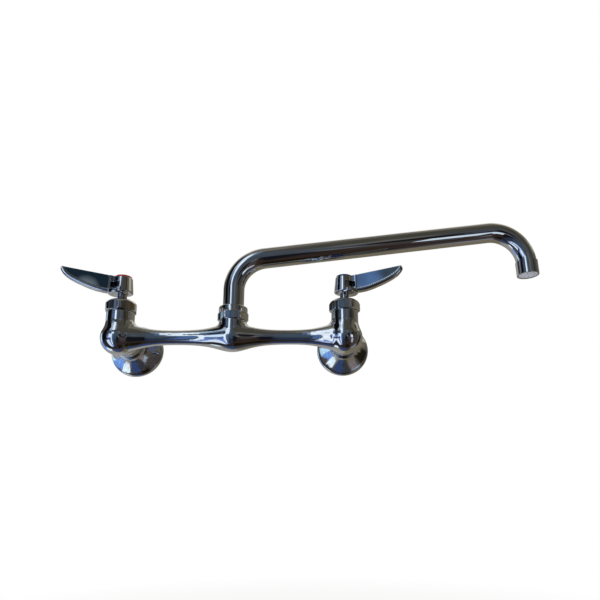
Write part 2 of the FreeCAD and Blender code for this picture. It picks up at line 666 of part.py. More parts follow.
def neck_plan(half, low, high):
    """A tall block with the neck's plan: straight sides that flare into the hub."""
    reach = HUB_HIGH_R + NECK_BLEND
    out = half + NECK_BLEND
    along = math.sqrt(reach ** 2 - out ** 2)
    end = LEVER_ROOT + 2 * TOP_FILLET

    def flare(side):
        centre = Vector(along, side * out, low)
        meet = Vector(along, side * out, 0) * (HUB_HIGH_R / reach) + Vector(0, 0, low)
        tangent = Vector(along, side * half, low)
        middle = (meet + tangent) * 0.5 - centre
        return meet, centre + middle.normalize() * NECK_BLEND, tangent

    near, far = flare(-1), flare(1)
    edges = [arc(*near), line(near[2], Vector(end, -half, low)),
             line(Vector(end, -half, low), Vector(end, half, low)),
             line(Vector(end, half, low), far[2]), arc(*far[::-1]), line(far[0], near[0])]
    return Part.Face(Part.Wire(edges)).extrude(Vector(0, 0, high - low))


def lever_neck():
    """The neck between the hub and the blade."""
    neck = neck_plan(LEVER_NECK_HALF_W, HUB_LOW - PAD_DROP, LEVER_TOP_TIP_Z)
    return neck.common(lever_side(0.0, HUB_LOW_R))


def lever_pockets():
    """The room of the two pockets that are cast beside the web between hub and blade."""
    height = POCKET_HIGH - POCKET_LOW
    room = Part.makeBox(POCKET_END - POCKET_START, 4 * HUB_LOW_R, height,
                        Vector(POCKET_START, -2 * HUB_LOW_R, POCKET_LOW))
    core = Part.makeCylinder(POCKET_CORE_R, height, Vector(0, 0, POCKET_LOW), ALONG_Z)
    web = Part.makeBox(LEVER_TIP, POCKET_WEB_T, height, Vector(0, -POCKET_WEB_T / 2, POCKET_LOW))
    return room.cut([core, web])


def lever_pad():
    """The round pad under the lever's root, which hangs a little below the hub."""
    pad = Part.makeCylinder(PAD_R, PAD_T, Vector(PAD_REACH, 0, HUB_LOW - PAD_DROP), ALONG_Z)
    rim = [edge for edge in pad.Edges if edge.BoundBox.ZMax < HUB_LOW and edge.Length > PAD_R]
    return pad.makeFillet(PAD_ROUND, rim)


def lever_hub():
    """The round hub, drawn in towards its top."""
    top_r = HUB_HIGH_R - HUB_ROUND
    shoulder = Vector(HUB_HIGH_R, 0, HUB_TOP - HUB_ROUND)
    crown = Vector(top_r, 0, HUB_TOP)
    bulge = Vector(top_r + HUB_ROUND * math.sqrt(0.5), 0,
                   HUB_TOP - HUB_ROUND + HUB_ROUND * math.sqrt(0.5))
    low = Vector(HUB_LOW_R - EDGE_BREAK, 0, HUB_LOW)
    edge = Vector(HUB_LOW_R, 0, HUB_LOW + EDGE_BREAK)
    return turned_edges([line(Vector(0, 0, HUB_LOW), low), line(low, edge),
                         line(edge, shoulder), arc(shoulder, bulge, crown),
                         line(crown, Vector(0, 0, HUB_TOP)),
                         line(Vector(0, 0, HUB_TOP), Vector(0, 0, HUB_LOW))], 0, 0)


def lever(x, heading):
    """One lever handle, turned to its heading about the stem."""
    solid = lever_hub().fuse([lever_neck(), lever_pad(), lever_blade()]).cut(lever_pockets())
    solid.rotate(ORIGIN, ALONG_Z, heading)
    solid.translate(Vector(x, -WALL_TO_AXIS, 0))
    socket_top = STEM_TOP + SOCKET_ROOF
    socket = splined(SPLINE_TIP_R + SEAT_GAP, SPLINE_ROOT_R + SEAT_GAP, HUB_LOW - OVERCUT, socket_top, x)
    mouth = post(STEM_R + SEAT_GAP, HUB_LOW - 2 * PAD_DROP, SPLINE_START + SEAT_GAP, x)
    screw_way = post(SCREW_R + SLIP_GAP, socket_top - OVERCUT, CUP_FLOOR + OVERCUT, x)
    cup = post(CUP_R, CUP_FLOOR, HUB_TOP + OVERCUT, x)
    seat = post(BUTTON_R + SLIP_GAP, HUB_TOP, LEVER_TOP_TIP_Z, x)
    return solid.cut([socket, mouth, screw_way, cup, seat])


def handle_screw(x):
    """The slotted screw that holds the lever on the stem."""
    under = CUP_FLOOR
    top = under + SCREW_HEAD_T
    shank_r = SCREW_R - SEAT_GAP
    screw = turned([(0, under - SCREW_LENGTH), (shank_r - EDGE_BREAK, under - SCREW_LENGTH),
                    (shank_r, under - SCREW_LENGTH + EDGE_BREAK), (shank_r, under),
                    (SCREW_HEAD_R, under), (SCREW_HEAD_R, top - EDGE_BREAK),
                    (SCREW_HEAD_R - EDGE_BREAK, top), (0, top)], x)
    slot = Part.makeBox(3 * SCREW_HEAD_R, SCREW_SLOT_W, 2 * SCREW_SLOT_DEPTH,
                        Vector(x - 1.5 * SCREW_HEAD_R, -WALL_TO_AXIS - SCREW_SLOT_W / 2,
                               top - SCREW_SLOT_DEPTH))
    return screw.cut(slot)


def index_button(x):
    """The coloured button that closes the hub: a slightly domed cap on a snap skirt."""
    skirt_low = CUP_FLOOR + SCREW_HEAD_T + SEAT_GAP
    seat = HUB_TOP + SEAT_GAP
    rim_top = seat + BUTTON_RIM_T
    dome_r = BUTTON_R - BUTTON_RIM_ROUND
    ball_r = (dome_r ** 2 + BUTTON_DOME ** 2) / (2 * BUTTON_DOME)
    half = math.asin(dome_r / ball_r) / 2
    crown = Vector(0, 0, rim_top + BUTTON_DOME)
    bulge = crown + Vector(ball_r * math.sin(half), 0, ball_r * (math.cos(half) - 1))
    edge = Vector(dome_r, 0, rim_top)
    turn = math.sqrt(0.5)
    corner = edge + Vector(turn, 0, turn - 1) * BUTTON_RIM_ROUND
    side = Vector(BUTTON_R, 0, rim_top - BUTTON_RIM_ROUND)
    inner = BUTTON_PLUG_R - BUTTON_SKIRT_T
    corners = [side, Vector(BUTTON_R, 0, seat), Vector(BUTTON_PLUG_R, 0, seat),
               Vector(BUTTON_PLUG_R, 0, skirt_low), Vector(inner, 0, skirt_low),
               Vector(inner, 0, seat), Vector(0, 0, seat), crown]
    edges = [line(a, b) for a, b in zip(corners, corners[1:])]
    return turned_edges(edges + [arc(crown, bulge, edge), arc(edge, corner, side)], x)


def spout_path(start_z, end_trim=0.0):
    """The tube's middle line in the XZ plane: up, over, along and down to the outlet."""
    rise = math.radians(RUN_RISE)
    tilt = math.radians(OUTLET_TILT)
    start = Vector(0, 0, start_z)
    spring = Vector(0, 0, TUBE_BEND_START)
    centre = spring + Vector(FIRST_BEND_R, 0, 0)

    def on_first(turn):
        return centre + Vector(-math.cos(turn), 0, math.sin(turn)) * FIRST_BEND_R

    first_turn = math.pi / 2 - rise
    run_start = on_first(first_turn)
    run_end = run_start + Vector(math.cos(rise), 0, math.sin(rise)) * RUN_LENGTH
    last_centre = run_end + Vector(math.sin(rise), 0, -math.cos(rise)) * LAST_BEND_R

    def on_last(slope):
        return last_centre + Vector(-math.sin(slope), 0, math.cos(slope)) * LAST_BEND_R

    down = tilt - math.pi / 2
    drop_start = on_last(down)
    drop = Vector(math.sin(tilt), 0, -math.cos(tilt))
    outlet = drop_start + drop * (OUTLET_LENGTH - end_trim)
    edges = [line(start, spring), arc(spring, on_first(first_turn / 2), run_start),
             line(run_start, run_end), arc(run_end, on_last((rise + down) / 2), drop_start),
             line(drop_start, outlet)]
    return Part.Wire(edges), outlet, drop


def swept(radius, path, start):
    """A round bar of the radius along the path."""
    circle = Part.Wire(Part.Circle(start, ALONG_Z, radius).toShape())
    return path.makePipeShell([circle], True, False)


def swing(shape):
    """Put a piece of the spout at its resting angle over the outlet riser."""
    shape.rotate(ORIGIN, ALONG_Z, SPOUT_SWING)
    shape.translate(Vector(0, -WALL_TO_AXIS, 0))
    return shape


def foot_levels():
    """Heights of the slip washer's top and of the foot's collar, from the riser's rim up."""
    washer_top = RISER_RIM + SEAT_GAP + SLIP_WASHER_T
    collar_low = washer_top + SEAT_GAP
    return washer_top, collar_low, collar_low + FOOT_COLLAR_T


def spout_tube():
    """The bent tube. It starts on the foot's collar and ends inside the ferrule."""
    start_z = foot_levels()[2]
    trim = FORMER_T + FORMER_LIP
    path = spout_path(start_z, trim)[0]
    start = Vector(0, 0, start_z)
    return swing(swept(TUBE_R, path, start).cut(swept(TUBE_R - TUBE_WALL, path, start)))


def spout_foot():
    """The turned foot: two ring grooves, a collar that the nut holds, a register in the tube."""
    collar_low, collar_high = foot_levels()[1:]
    outline = [(FOOT_BORE_R, FOOT_LOW), (FOOT_R - EDGE_BREAK, FOOT_LOW),
               (FOOT_R, FOOT_LOW + EDGE_BREAK)]
    for height in FOOT_RING_Z:
        reach = FOOT_RING_WIRE_R + SEAT_GAP
        groove = SOCKET_BORE_R - 2 * FOOT_RING_WIRE_R - 2 * SEAT_GAP
        outline += [(FOOT_R, height - reach), (groove, height - reach),
                    (groove, height + reach), (FOOT_R, height + reach)]
    register = TUBE_R - TUBE_WALL - SEAT_GAP
    outline += [(FOOT_R, collar_low), (FOOT_COLLAR_R, collar_low), (FOOT_COLLAR_R, collar_high),
                (register, collar_high), (register, collar_high + FOOT_REGISTER_H),
                (FOOT_BORE_R, collar_high + FOOT_REGISTER_H)]
    return turned(outline)


def spout_o_rings():
    """The two seals of the foot."""
    middle = SOCKET_BORE_R - SEAT_GAP - FOOT_RING_WIRE_R
    return Part.Compound([rubber_ring(middle, FOOT_RING_WIRE_R, z) for z in FOOT_RING_Z])


def slip_washer():
    """The plastic washer on which the spout's collar turns."""
    low = RISER_RIM + SEAT_GAP
    return tube_ring(THREAD_R - EDGE_BREAK, FOOT_R + SLIP_GAP, low, low + SLIP_WASHER_T)


def spout_nut():
    """The nut that keeps the spout's collar on the riser: a hexagon under a round band."""
    low = RISER_TOP + SEAT_GAP
    top = SPOUT_NUT_TOP
    thread = THREAD_R + THREAD_GAP
    roof = foot_levels()[2] + SEAT_GAP
    hole = TUBE_R + TURN_GAP
    corner_r = SPOUT_NUT_CORNER_R
    band_r = SPOUT_NUT_BAND_R
    curve_r = SPOUT_NUT_BAND_ROUND
    band_low = SPOUT_NUT_HEX_TOP + corner_r - band_r
    turn = math.sqrt(0.5)
    band_high = Vector(band_r, 0, top - curve_r)
    bulge = Vector(band_r - curve_r + curve_r * turn, 0, top - curve_r + curve_r * turn)
    crown = Vector(band_r - curve_r, 0, top)
    corners = [Vector(0, 0, low), Vector(corner_r - 2 * NUT_FOOT_CHAMFER, 0, low),
               Vector(corner_r, 0, low + NUT_FOOT_CHAMFER),
               Vector(corner_r, 0, SPOUT_NUT_HEX_TOP), Vector(band_r, 0, band_low)]
    hex_edges = [line(a, b) for a, b in zip(corners, corners[1:])]
    hex_edges += [line(corners[-1], Vector(0, 0, band_low)),
                  line(Vector(0, 0, band_low), corners[0])]
    band = turned_edges([line(Vector(0, 0, band_low - OVERCUT), Vector(band_r, 0, band_low - OVERCUT)),
                         line(Vector(band_r, 0, band_low - OVERCUT), band_high),
                         arc(band_high, bulge, crown), line(crown, Vector(0, 0, top)),
                         line(Vector(0, 0, top), Vector(0, 0, band_low - OVERCUT))])
    hollow = [(0, low - OVERCUT), (thread, low - OVERCUT), (thread, roof), (hole, roof),
              (hole, top + OVERCUT), (0, top + OVERCUT)]
    nut = hex_nut(SPOUT_NUT_FLATS, turned_edges(hex_edges), low, band_low, SPOUT_SWING,
                  hollow, 0.0)
    return nut.fuse(band.cut(turned(hollow)))


def at_outlet(shape):
    """Place a piece that was turned about Z, mouth at height zero, at the spout's outlet."""
    outlet, drop = spout_path(TUBE_BEND_START - OVERCUT)[1:]
    shape.rotate(ORIGIN, Vector(0, 1, 0), -OUTLET_TILT)
    shape.translate(outlet)
    return swing(shape)


def outlet_ferrule():
    """The sleeve over the tube's end, turned in at its mouth to hold the stream former."""
    tube_end = FORMER_T + FORMER_LIP
    lip_r = TUBE_R - FORMER_LIP
    return at_outlet(turned([
        (lip_r, 0), (FERRULE_R - FERRULE_EDGE, 0), (FERRULE_R, FERRULE_EDGE),
        (FERRULE_R, FERRULE_LENGTH - FERRULE_EDGE), (FERRULE_R - FERRULE_EDGE, FERRULE_LENGTH),
        (TUBE_R, FERRULE_LENGTH), (TUBE_R, tube_end), (TUBE_R, FORMER_LIP),
        (lip_r, FORMER_LIP)], 0, 0))


def stream_former():
    """The plastic disc with rings of holes that smooths the stream."""
    disc = post(TUBE_R - SEAT_GAP, FORMER_LIP, FORMER_LIP + FORMER_T, 0, 0)
    holes = [post(FORMER_HOLE_R, 0, 2 * FORMER_T, 0, 0)]
    for ring_r, count in FORMER_ROWS:
        for step in range(count):
            angle = 2 * math.pi * step / count
            holes.append(post(FORMER_HOLE_R, 0, 2 * FORMER_T, ring_r * math.cos(angle),
                              ring_r * math.sin(angle)))
    return at_outlet(disc.cut(holes))


def build():
    """Every separate piece by the name of its node."""
    pieces = {"body_casting": body_casting()}
    sides = (("hot", -HALF_CENTRES, 180 + LEVER_SWING, HOT_NUT_TURN),
             ("cold", HALF_CENTRES, -LEVER_SWING, COLD_NUT_TURN))
    makers = (("wall_flange", wall_flange), ("flange_snap_ring", snap_ring),
              ("inlet_washer", inlet_washer), ("seat_gasket", seat_gasket),
              ("fixed_disc", fixed_disc), ("moving_disc", moving_disc),
              ("cartridge_body", cartridge_body), ("barrel_o_ring", barrel_o_ring),
              ("stem", stem), ("stem_o_ring", stem_o_ring), ("stem_clip", stem_clip),
              ("handle_screw", handle_screw), ("index_button", index_button))
    for side, x, heading, nut_turn in sides:
        for name, make in makers:
            pieces[side + "_" + name] = make(x)
        pieces[side + "_bonnet_nut"] = bonnet_nut(x, nut_turn)
        pieces[side + "_lever"] = lever(x, heading)
    pieces["spout_nut"] = spout_nut()
    pieces["spout_slip_washer"] = slip_washer()
    pieces["spout_foot"] = spout_foot()
    pieces["spout_o_rings"] = spout_o_rings()
    pieces["spout_tube"] = spout_tube()
    pieces["outlet_ferrule"] = outlet_ferrule()
    pieces["stream_former"] = stream_former()
    return pieces


os.makedirs("parts", exist_ok=True)
for name, shape in build().items():
    shape.exportStep("parts/" + name + ".step")
    print(name, len(shape.Solids), "solid(s)", round(shape.Volume, 1), "mm3",
          "valid" if shape.isValid() else "NOT VALID")
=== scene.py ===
import bpy
import json
import math
from mathutils import Matrix, Vector

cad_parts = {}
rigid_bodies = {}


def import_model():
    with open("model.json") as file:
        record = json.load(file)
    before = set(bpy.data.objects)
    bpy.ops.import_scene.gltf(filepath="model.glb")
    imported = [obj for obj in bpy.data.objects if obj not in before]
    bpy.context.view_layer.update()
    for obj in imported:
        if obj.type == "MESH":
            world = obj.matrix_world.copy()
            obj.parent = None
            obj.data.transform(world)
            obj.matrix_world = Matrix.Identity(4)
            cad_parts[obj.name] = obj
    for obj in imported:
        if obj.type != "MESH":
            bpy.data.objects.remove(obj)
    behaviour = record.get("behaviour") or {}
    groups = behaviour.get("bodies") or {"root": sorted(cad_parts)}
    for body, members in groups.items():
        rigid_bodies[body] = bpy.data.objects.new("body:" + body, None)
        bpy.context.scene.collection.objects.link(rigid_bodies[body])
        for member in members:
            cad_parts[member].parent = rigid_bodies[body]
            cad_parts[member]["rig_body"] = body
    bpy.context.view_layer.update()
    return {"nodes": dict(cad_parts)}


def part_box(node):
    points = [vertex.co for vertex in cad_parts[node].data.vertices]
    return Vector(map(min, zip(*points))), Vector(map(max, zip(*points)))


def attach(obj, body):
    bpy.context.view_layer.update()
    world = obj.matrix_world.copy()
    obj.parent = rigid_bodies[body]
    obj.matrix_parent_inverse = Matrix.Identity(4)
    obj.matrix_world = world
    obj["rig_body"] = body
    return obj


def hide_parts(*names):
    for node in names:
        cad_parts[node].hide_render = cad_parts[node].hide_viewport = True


bl_info = {
    "name": "Wall Faucet Dresser",
    "version": (1, 0, 0),
    "blender": (4, 5, 0),
    "location": "View3D > Sidebar > Faucet",
    "description": "Builds and finishes the visible pieces of a wall-mounted two-handle faucet",
    "category": "Object",
}

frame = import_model()

MM = 0.001
WELD = 0.002 * MM
UP = Vector((0, 0, 1))
RIGHT = Vector((1, 0, 0))
FRONT = Vector((0, -1, 0))


def middle_of(node):
    """The middle of a CAD node's box."""
    low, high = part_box(node)
    return (low + high) / 2


HOT_VALVE = middle_of("hot_barrel_o_ring")
COLD_VALVE = middle_of("cold_barrel_o_ring")
RISER = middle_of("spout_slip_washer")


# Sizes, colours and settings that a user would change

class FaucetSizes(bpy.types.PropertyGroup):
    """Main sizes of the faucet's visible pieces."""
    hot_valve_x: bpy.props.FloatProperty(
        name="Hot valve", description="Place of the hot valve along the wall",
        default=HOT_VALVE.x, unit="LENGTH", precision=4)
    cold_valve_x: bpy.props.FloatProperty(
        name="Cold valve", description="Place of the cold valve along the wall",
        default=COLD_VALVE.x, unit="LENGTH", precision=4)
    reach_y: bpy.props.FloatProperty(
        name="Body line", description="Place of the body's middle line off the wall",
        default=RISER.y, unit="LENGTH", precision=4)
    casting_skin: bpy.props.FloatProperty(
        name="Casting skin", description="Mesh size of the body casting's skin",
        default=0.682 * MM, unit="LENGTH", precision=5)
    lever_skin: bpy.props.FloatProperty(
        name="Lever skin", description="Mesh size of the levers' skin",
        default=0.27 * MM, unit="LENGTH", precision=5)
    tube_radius: bpy.props.FloatProperty(
        name="Tube radius", description="Outer radius of the spout tube",
        default=9.525 * MM, unit="LENGTH", precision=5)
    tube_wall: bpy.props.FloatProperty(
        name="Tube wall", description="Wall thickness of the spout tube",
        default=0.9 * MM, unit="LENGTH", precision=5)
    tube_start: bpy.props.FloatProperty(
        name="Tube start", description="Height of the tube's lower end",
        default=23.4 * MM, unit="LENGTH", precision=5)
    bend_start: bpy.props.FloatProperty(
        name="Bend start", description="Height at which the first bend starts",
        default=44.8 * MM, unit="LENGTH", precision=5)
    first_bend: bpy.props.FloatProperty(
        name="First bend", description="Radius of the bend over the riser",
        default=32.7 * MM, unit="LENGTH", precision=5)
    run_rise: bpy.props.FloatProperty(
        name="Run rise", description="Slope of the long run",
        default=math.radians(8.2), subtype="ANGLE")
    run_length: bpy.props.FloatProperty(
        name="Run length", description="Length of the straight run",
        default=217.9 * MM, unit="LENGTH", precision=5)
    last_bend: bpy.props.FloatProperty(
        name="Last bend", description="Radius of the bend over the outlet",
        default=32.2 * MM, unit="LENGTH", precision=5)
    outlet_tilt: bpy.props.FloatProperty(
        name="Outlet tilt", description="Lean of the outlet off plumb",
        default=math.radians(2.0), subtype="ANGLE")
    outlet_length: bpy.props.FloatProperty(
        name="Outlet length", description="Straight length below the last bend",
        default=12.6 * MM, unit="LENGTH", precision=5)
    spout_swing: bpy.props.FloatProperty(
        name="Spout swing", description="Heading of the spout at rest",
        default=math.radians(3.0), subtype="ANGLE")
    nut_edge: bpy.props.FloatProperty(
        name="Nut edge", description="Rounding that polishing leaves on the nuts",
        default=0.35 * MM, unit="LENGTH", precision=5)


class FaucetFinishes(bpy.types.PropertyGroup):
    """Colours of the faucet's finishes."""
    chrome: bpy.props.StringProperty(
        name="Chrome", description="Colour of the chrome plating", default="#c9cccf")
    hot_index: bpy.props.StringProperty(
        name="Hot index", description="Colour of the hot button", default="#9b1a1c")
    cold_index: bpy.props.StringProperty(
        name="Cold index", description="Colour of the cold button", default="#1d2f63")
    brass: bpy.props.StringProperty(
        name="Brass", description="Colour of the turned brass", default="#b8924e")
    steel: bpy.props.StringProperty(
        name="Stainless steel", description="Colour of the steel clips and screws",
        default="#b4b2ad")
    rubber: bpy.props.StringProperty(
        name="Seal rubber", description="Colour of the seals", default="#1c1c1e")
    ceramic: bpy.props.StringProperty(
        name="Ceramic", description="Colour of the valve discs", default="#e8e3d8")
    plastic: bpy.props.StringProperty(
        name="Light plastic", description="Colour of the slip washer", default="#cfccc4")
    grid: bpy.props.StringProperty(
        name="Stream former", description="Colour of the stream former's grid",
        default="#d3d9e6")


class StudioSettings(bpy.types.PropertyGroup):
    """Camera, lamps and floor."""
    camera_place: bpy.props.FloatVectorProperty(
        name="Camera", description="Place of the camera", subtype="TRANSLATION",
        default=(0.07640, -0.52066, -0.12739), unit="LENGTH", precision=5)
    camera_heading: bpy.props.FloatProperty(
        name="Heading", description="Camera heading off the wall's normal",
        default=math.radians(-1.168), subtype="ANGLE")
    camera_pitch: bpy.props.FloatProperty(
        name="Pitch", description="How far the camera looks up",
        default=math.radians(13.487), subtype="ANGLE")
    camera_roll: bpy.props.FloatProperty(
        name="Roll", description="Turn of the camera about its line of sight",
        default=math.radians(-0.564), subtype="ANGLE")
    camera_lens: bpy.props.FloatProperty(
        name="Lens", description="Focal length on a 36 mm sensor", default=32.15)
    camera_shift: bpy.props.FloatVectorProperty(
        name="Shift", description="Sideways and upward shift of the frame", size=2,
        default=(-0.0465, 0.0891))
    floor_height: bpy.props.FloatProperty(
        name="Floor", description="Height of the floor", default=-0.36, unit="LENGTH")
    lamp_power: bpy.props.FloatProperty(
        name="Lamp power", description="Power of the key lamp in watts", default=14.0)
    world_level: bpy.props.FloatProperty(
        name="World level", description="Light from all round", default=0.55)


# Handling of objects and meshes

def put_down():
    """Leave edit mode and select nothing."""
    if bpy.context.object and bpy.context.object.mode != "OBJECT":
        bpy.ops.object.mode_set(mode="OBJECT")
    bpy.ops.object.select_all(action="DESELECT")


def pick_up(piece):
    """Make one piece the only selected and the active one."""
    put_down()
    piece.select_set(True)
    bpy.context.view_layer.objects.active = piece


def settle(name):
    """Name the active object and move its place into its mesh."""
    piece = bpy.context.object
    piece.name = name
    piece.data.name = name
    bpy.ops.object.transform_apply(location=True, rotation=True, scale=True)
    return piece


def modify(piece, kind, **settings):
    """Add one modifier with its settings and apply it."""
    pick_up(piece)
    made = piece.modifiers.new(kind.title(), kind)
    for key, value in settings.items():
        setattr(made, key, value)
    bpy.ops.object.modifier_apply(modifier=made.name)


def trim(piece, tool, operation):
    """Cut, keep or join with a second solid, which is used up."""
    modify(piece, "BOOLEAN", object=tool, operation=operation, solver="EXACT")
    bpy.data.objects.remove(tool)


def soften(piece, width, segments=3):
    """Round the edges as buffing before plating does, and keep the flats flat."""
    sharp = math.radians(25)
    flat_weight = 80
    modify(piece, "BEVEL", width=width, segments=segments, limit_method="ANGLE",
           angle_limit=sharp, use_clamp_overlap=True)
    bpy.ops.object.shade_smooth()
    modify(piece, "WEIGHTED_NORMAL", weight=flat_weight, keep_sharp=False)


def arc_run(middle, radius, start, end, steps):
    """Corners along an arc, from one angle to another, counted from straight out upwards."""
    corners = []
    for step in range(steps + 1):
        angle = math.radians(start + (end - start) * step / steps)
        corners.append((middle[0] + radius * math.cos(angle),
                        middle[1] + radius * math.sin(angle)))
    return corners


def draw(place, outline):
    """Draw a line of edges in edit mode, corner by corner, from a square merged to one vertex."""
    put_down()
    first = place(*outline[0])
    bpy.ops.mesh.primitive_plane_add(size=MM, location=first)
    bpy.ops.object.transform_apply(location=True, rotation=True, scale=True)
    bpy.ops.object.mode_set(mode="EDIT")
    bpy.ops.mesh.select_all(action="SELECT")
    bpy.ops.mesh.merge(type="CENTER")
    last = first
    for corner in outline[1:]:
        here = place(*corner)
        bpy.ops.mesh.extrude_vertices_move(TRANSFORM_OT_translate={"value": here - last})
        last = here


def turned(name, outline, middle, axis=UP, out=RIGHT, steps=96):
    """Spin a closed outline of (radius, height) corners in millimetres round an axis."""
    def place(radius, height):
        return middle + (out * radius + axis * height) * MM

    draw(place, outline + outline[:1])
    bpy.ops.mesh.select_all(action="SELECT")
    bpy.ops.mesh.spin(steps=steps, angle=math.radians(360), center=middle, axis=axis)
    bpy.ops.mesh.select_all(action="SELECT")
    bpy.ops.mesh.remove_doubles(threshold=WELD)
    bpy.ops.mesh.normals_make_consistent(inside=False)
    bpy.ops.object.mode_set(mode="OBJECT")
    return settle(name)


def polished_skin(name, node, skin, rounds, cuts=()):
    """Copy a solid, cut it, give it one even skin, and settle the skin as a mop rounds a casting.

    Each round smooths the skin in and then a little further out, so that nothing shrinks.
    """
    inwards, outwards = 0.6, -0.62
    put_down()
    piece = bpy.data.objects.new(name, frame["nodes"][node].data.copy())
    piece.data.name = name
    bpy.context.scene.collection.objects.link(piece)
    pick_up(piece)
    bpy.ops.mesh.customdata_custom_splitnormals_clear()
    bpy.ops.object.mode_set(mode="EDIT")
    bpy.ops.mesh.select_all(action="SELECT")
    bpy.ops.mesh.remove_doubles(threshold=WELD)
    bpy.ops.object.mode_set(mode="OBJECT")
    for cut in cuts:
        trim(piece, cut, "DIFFERENCE")
    modify(piece, "REMESH", mode="VOXEL", voxel_size=skin, use_smooth_shade=True)
    for factor in (inwards, outwards) * rounds:
        modify(piece, "SMOOTH", factor=factor, iterations=1)
    bpy.ops.object.shade_smooth()
    return piece


def wear(piece, finish, node):
    """Give a piece its finish and slot, and put it in a node's place on the node's body."""
    piece.data.materials.clear()
    piece.data.materials.append(finish)
    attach(piece, frame["nodes"][node]["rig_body"])
    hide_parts(node)


# Materials

# Nearly all of a noise lies between these two values.
NOISE_LOW = 0.35
NOISE_HIGH = 0.65


def linear(text):
    """A colour written as sRGB hex, in the linear values that shaders take."""
    values = [int(text[at:at + 2], 16) / 255 for at in (1, 3, 5)]
    return [v / 12.92 if v <= 0.04045 else ((v + 0.055) / 1.055) ** 2.4 for v in values] + [1.0]


def add(tree, kind, inputs=None, **settings):
    """Add one node, set it, and fill its inputs with values, sockets or nodes' first outputs."""
    made = tree.nodes.new(kind)
    for key, value in settings.items():
        setattr(made, key, value)
    for socket, value in (inputs or {}).items():
        if isinstance(value, bpy.types.Node):
            value = value.outputs[0]
        if isinstance(value, bpy.types.NodeSocket):
            tree.links.new(value, made.inputs[socket])
        else:
            made.inputs[socket].default_value = value
    return made


def bare(name):
    """A new material, its empty tree, and the Object coordinates that its patterns read."""
    made = bpy.data.materials.new(name)
    made.use_nodes = True
    made.node_tree.nodes.clear()
    where = add(made.node_tree, "ShaderNodeTexCoord").outputs["Object"]
    return made, made.node_tree, where


def grain(tree, where, size_mm, detail=2.0, roughness=0.5, stretch=(1, 1, 1)):
    """Noise whose cells are about the given size, drawn out along an axis where asked."""
    mapped = add(tree, "ShaderNodeMapping", {"Vector": where, "Scale": stretch})
    noise = add(tree, "ShaderNodeTexNoise", {
        "Vector": mapped, "Scale": 1 / (size_mm * MM), "Detail": detail, "Roughness": roughness})
    return noise.outputs["Fac"]


def chrome(name, colour, wave_mm, depth_mm, hollow_mm=0.0):
    """Bright chrome over buffed brass: a mirror that the mop's long waves bend softly.

    Dents of a fifth of a wave break up thin highlights, and a haze in clouds of 6 mm dulls the
    mirror here and there. Where a hollow size is given, hollows of that size get painted shade:
    their colour is darkened as the shade in them would darken it.
    """
    haze_mm, dents_in_a_wave, dent_share = 6.0, 5, 14
    clear, hazy = 0.02, 0.05
    # The dark hollow colour is painted shade, not a finish of the metal.
    shut, open_wide, hollow_shade = 0.5, 0.88, "#1b1a1c"
    made, tree, where = bare(name)
    waves = grain(tree, where, wave_mm, detail=1.0)
    dents = grain(tree, where, wave_mm / dents_in_a_wave)
    haze = grain(tree, where, haze_mm, detail=4.0, roughness=0.6)
    dulled = add(tree, "ShaderNodeMapRange", {
        "Value": haze, "From Min": NOISE_LOW, "From Max": NOISE_HIGH, "To Min": clear,
        "To Max": hazy})
    waved = add(tree, "ShaderNodeBump", {
        "Height": waves, "Distance": depth_mm * MM, "Strength": 1.0})
    dented = add(tree, "ShaderNodeBump", {
        "Height": dents, "Distance": depth_mm / dent_share * MM, "Strength": 1.0,
        "Normal": waved})
    plating = linear(colour)
    # Painted shade: ambient occlusion mixes the dark colour into the plating's own colour where the
    # surface is closed in.
    if hollow_mm:
        sky = add(tree, "ShaderNodeAmbientOcclusion", {"Distance": hollow_mm * MM},
                  samples=16, only_local=True).outputs["AO"]
        unshaded = add(tree, "ShaderNodeMapRange", {
            "Value": sky, "From Min": shut, "From Max": open_wide, "To Min": 0.0,
            "To Max": 1.0})
        plating = add(tree, "ShaderNodeMix", {
            "Factor": unshaded, "A": linear(hollow_shade), "B": linear(colour)},
            data_type="RGBA").outputs["Result"]
    shader = add(tree, "ShaderNodeBsdfPrincipled", {
        "Base Color": plating, "Metallic": 1.0, "Roughness": dulled, "Normal": dented})
    add(tree, "ShaderNodeOutputMaterial", {"Surface": shader})
    return made


def solid(name, colour, dark, roughness, grain_mm, depth_mm, metallic=0.0, stretch=(1, 1, 1),
          coat=0.0):
    """A plain material: faint stains vary its colour, and a fine grain breaks up its gloss."""
    stain_mm = 4 * grain_mm
    coat_roughness = 0.08
    made, tree, where = bare(name)
    stain = grain(tree, where, stain_mm, detail=3.0)
    fine = grain(tree, where, grain_mm, detail=3.0, stretch=stretch)
    stained = add(tree, "ShaderNodeMapRange", {
        "Value": stain, "From Min": 0.3, "From Max": 0.75, "To Min": 0.0, "To Max": 1.0})
    colours = add(tree, "ShaderNodeMix", {
        "Factor": stained, "A": linear(colour), "B": linear(dark)}, data_type="RGBA")
    dulled = add(tree, "ShaderNodeMapRange", {
        "Value": fine, "From Min": NOISE_LOW, "From Max": NOISE_HIGH,
        "To Min": roughness * 0.8, "To Max": roughness * 1.2})
    raised = add(tree, "ShaderNodeBump", {
        "Height": fine, "Distance": depth_mm * MM, "Strength": 1.0})
    shader = add(tree, "ShaderNodeBsdfPrincipled", {
        "Base Color": colours.outputs["Result"], "Metallic": metallic, "Roughness": dulled,
        "Normal": raised, "Coat Weight": coat, "Coat Roughness": coat_roughness})
    add(tree, "ShaderNodeOutputMaterial", {"Surface": shader})
    return made


# Pieces

def bowed(start, end, bow, steps):
    """Corners from start to end, with the line bowed out to its right by the given depth."""
    run = (end[0] - start[0], end[1] - start[1])
    length = math.hypot(*run)
    aside = (run[1] / length, -run[0] / length)
    corners = []
    for step in range(steps + 1):
        along = step / steps
        lift = bow * 4 * along * (1 - along)
        corners.append((start[0] + run[0] * along + aside[0] * lift,
                        start[1] + run[1] * along + aside[1] * lift))
    return corners


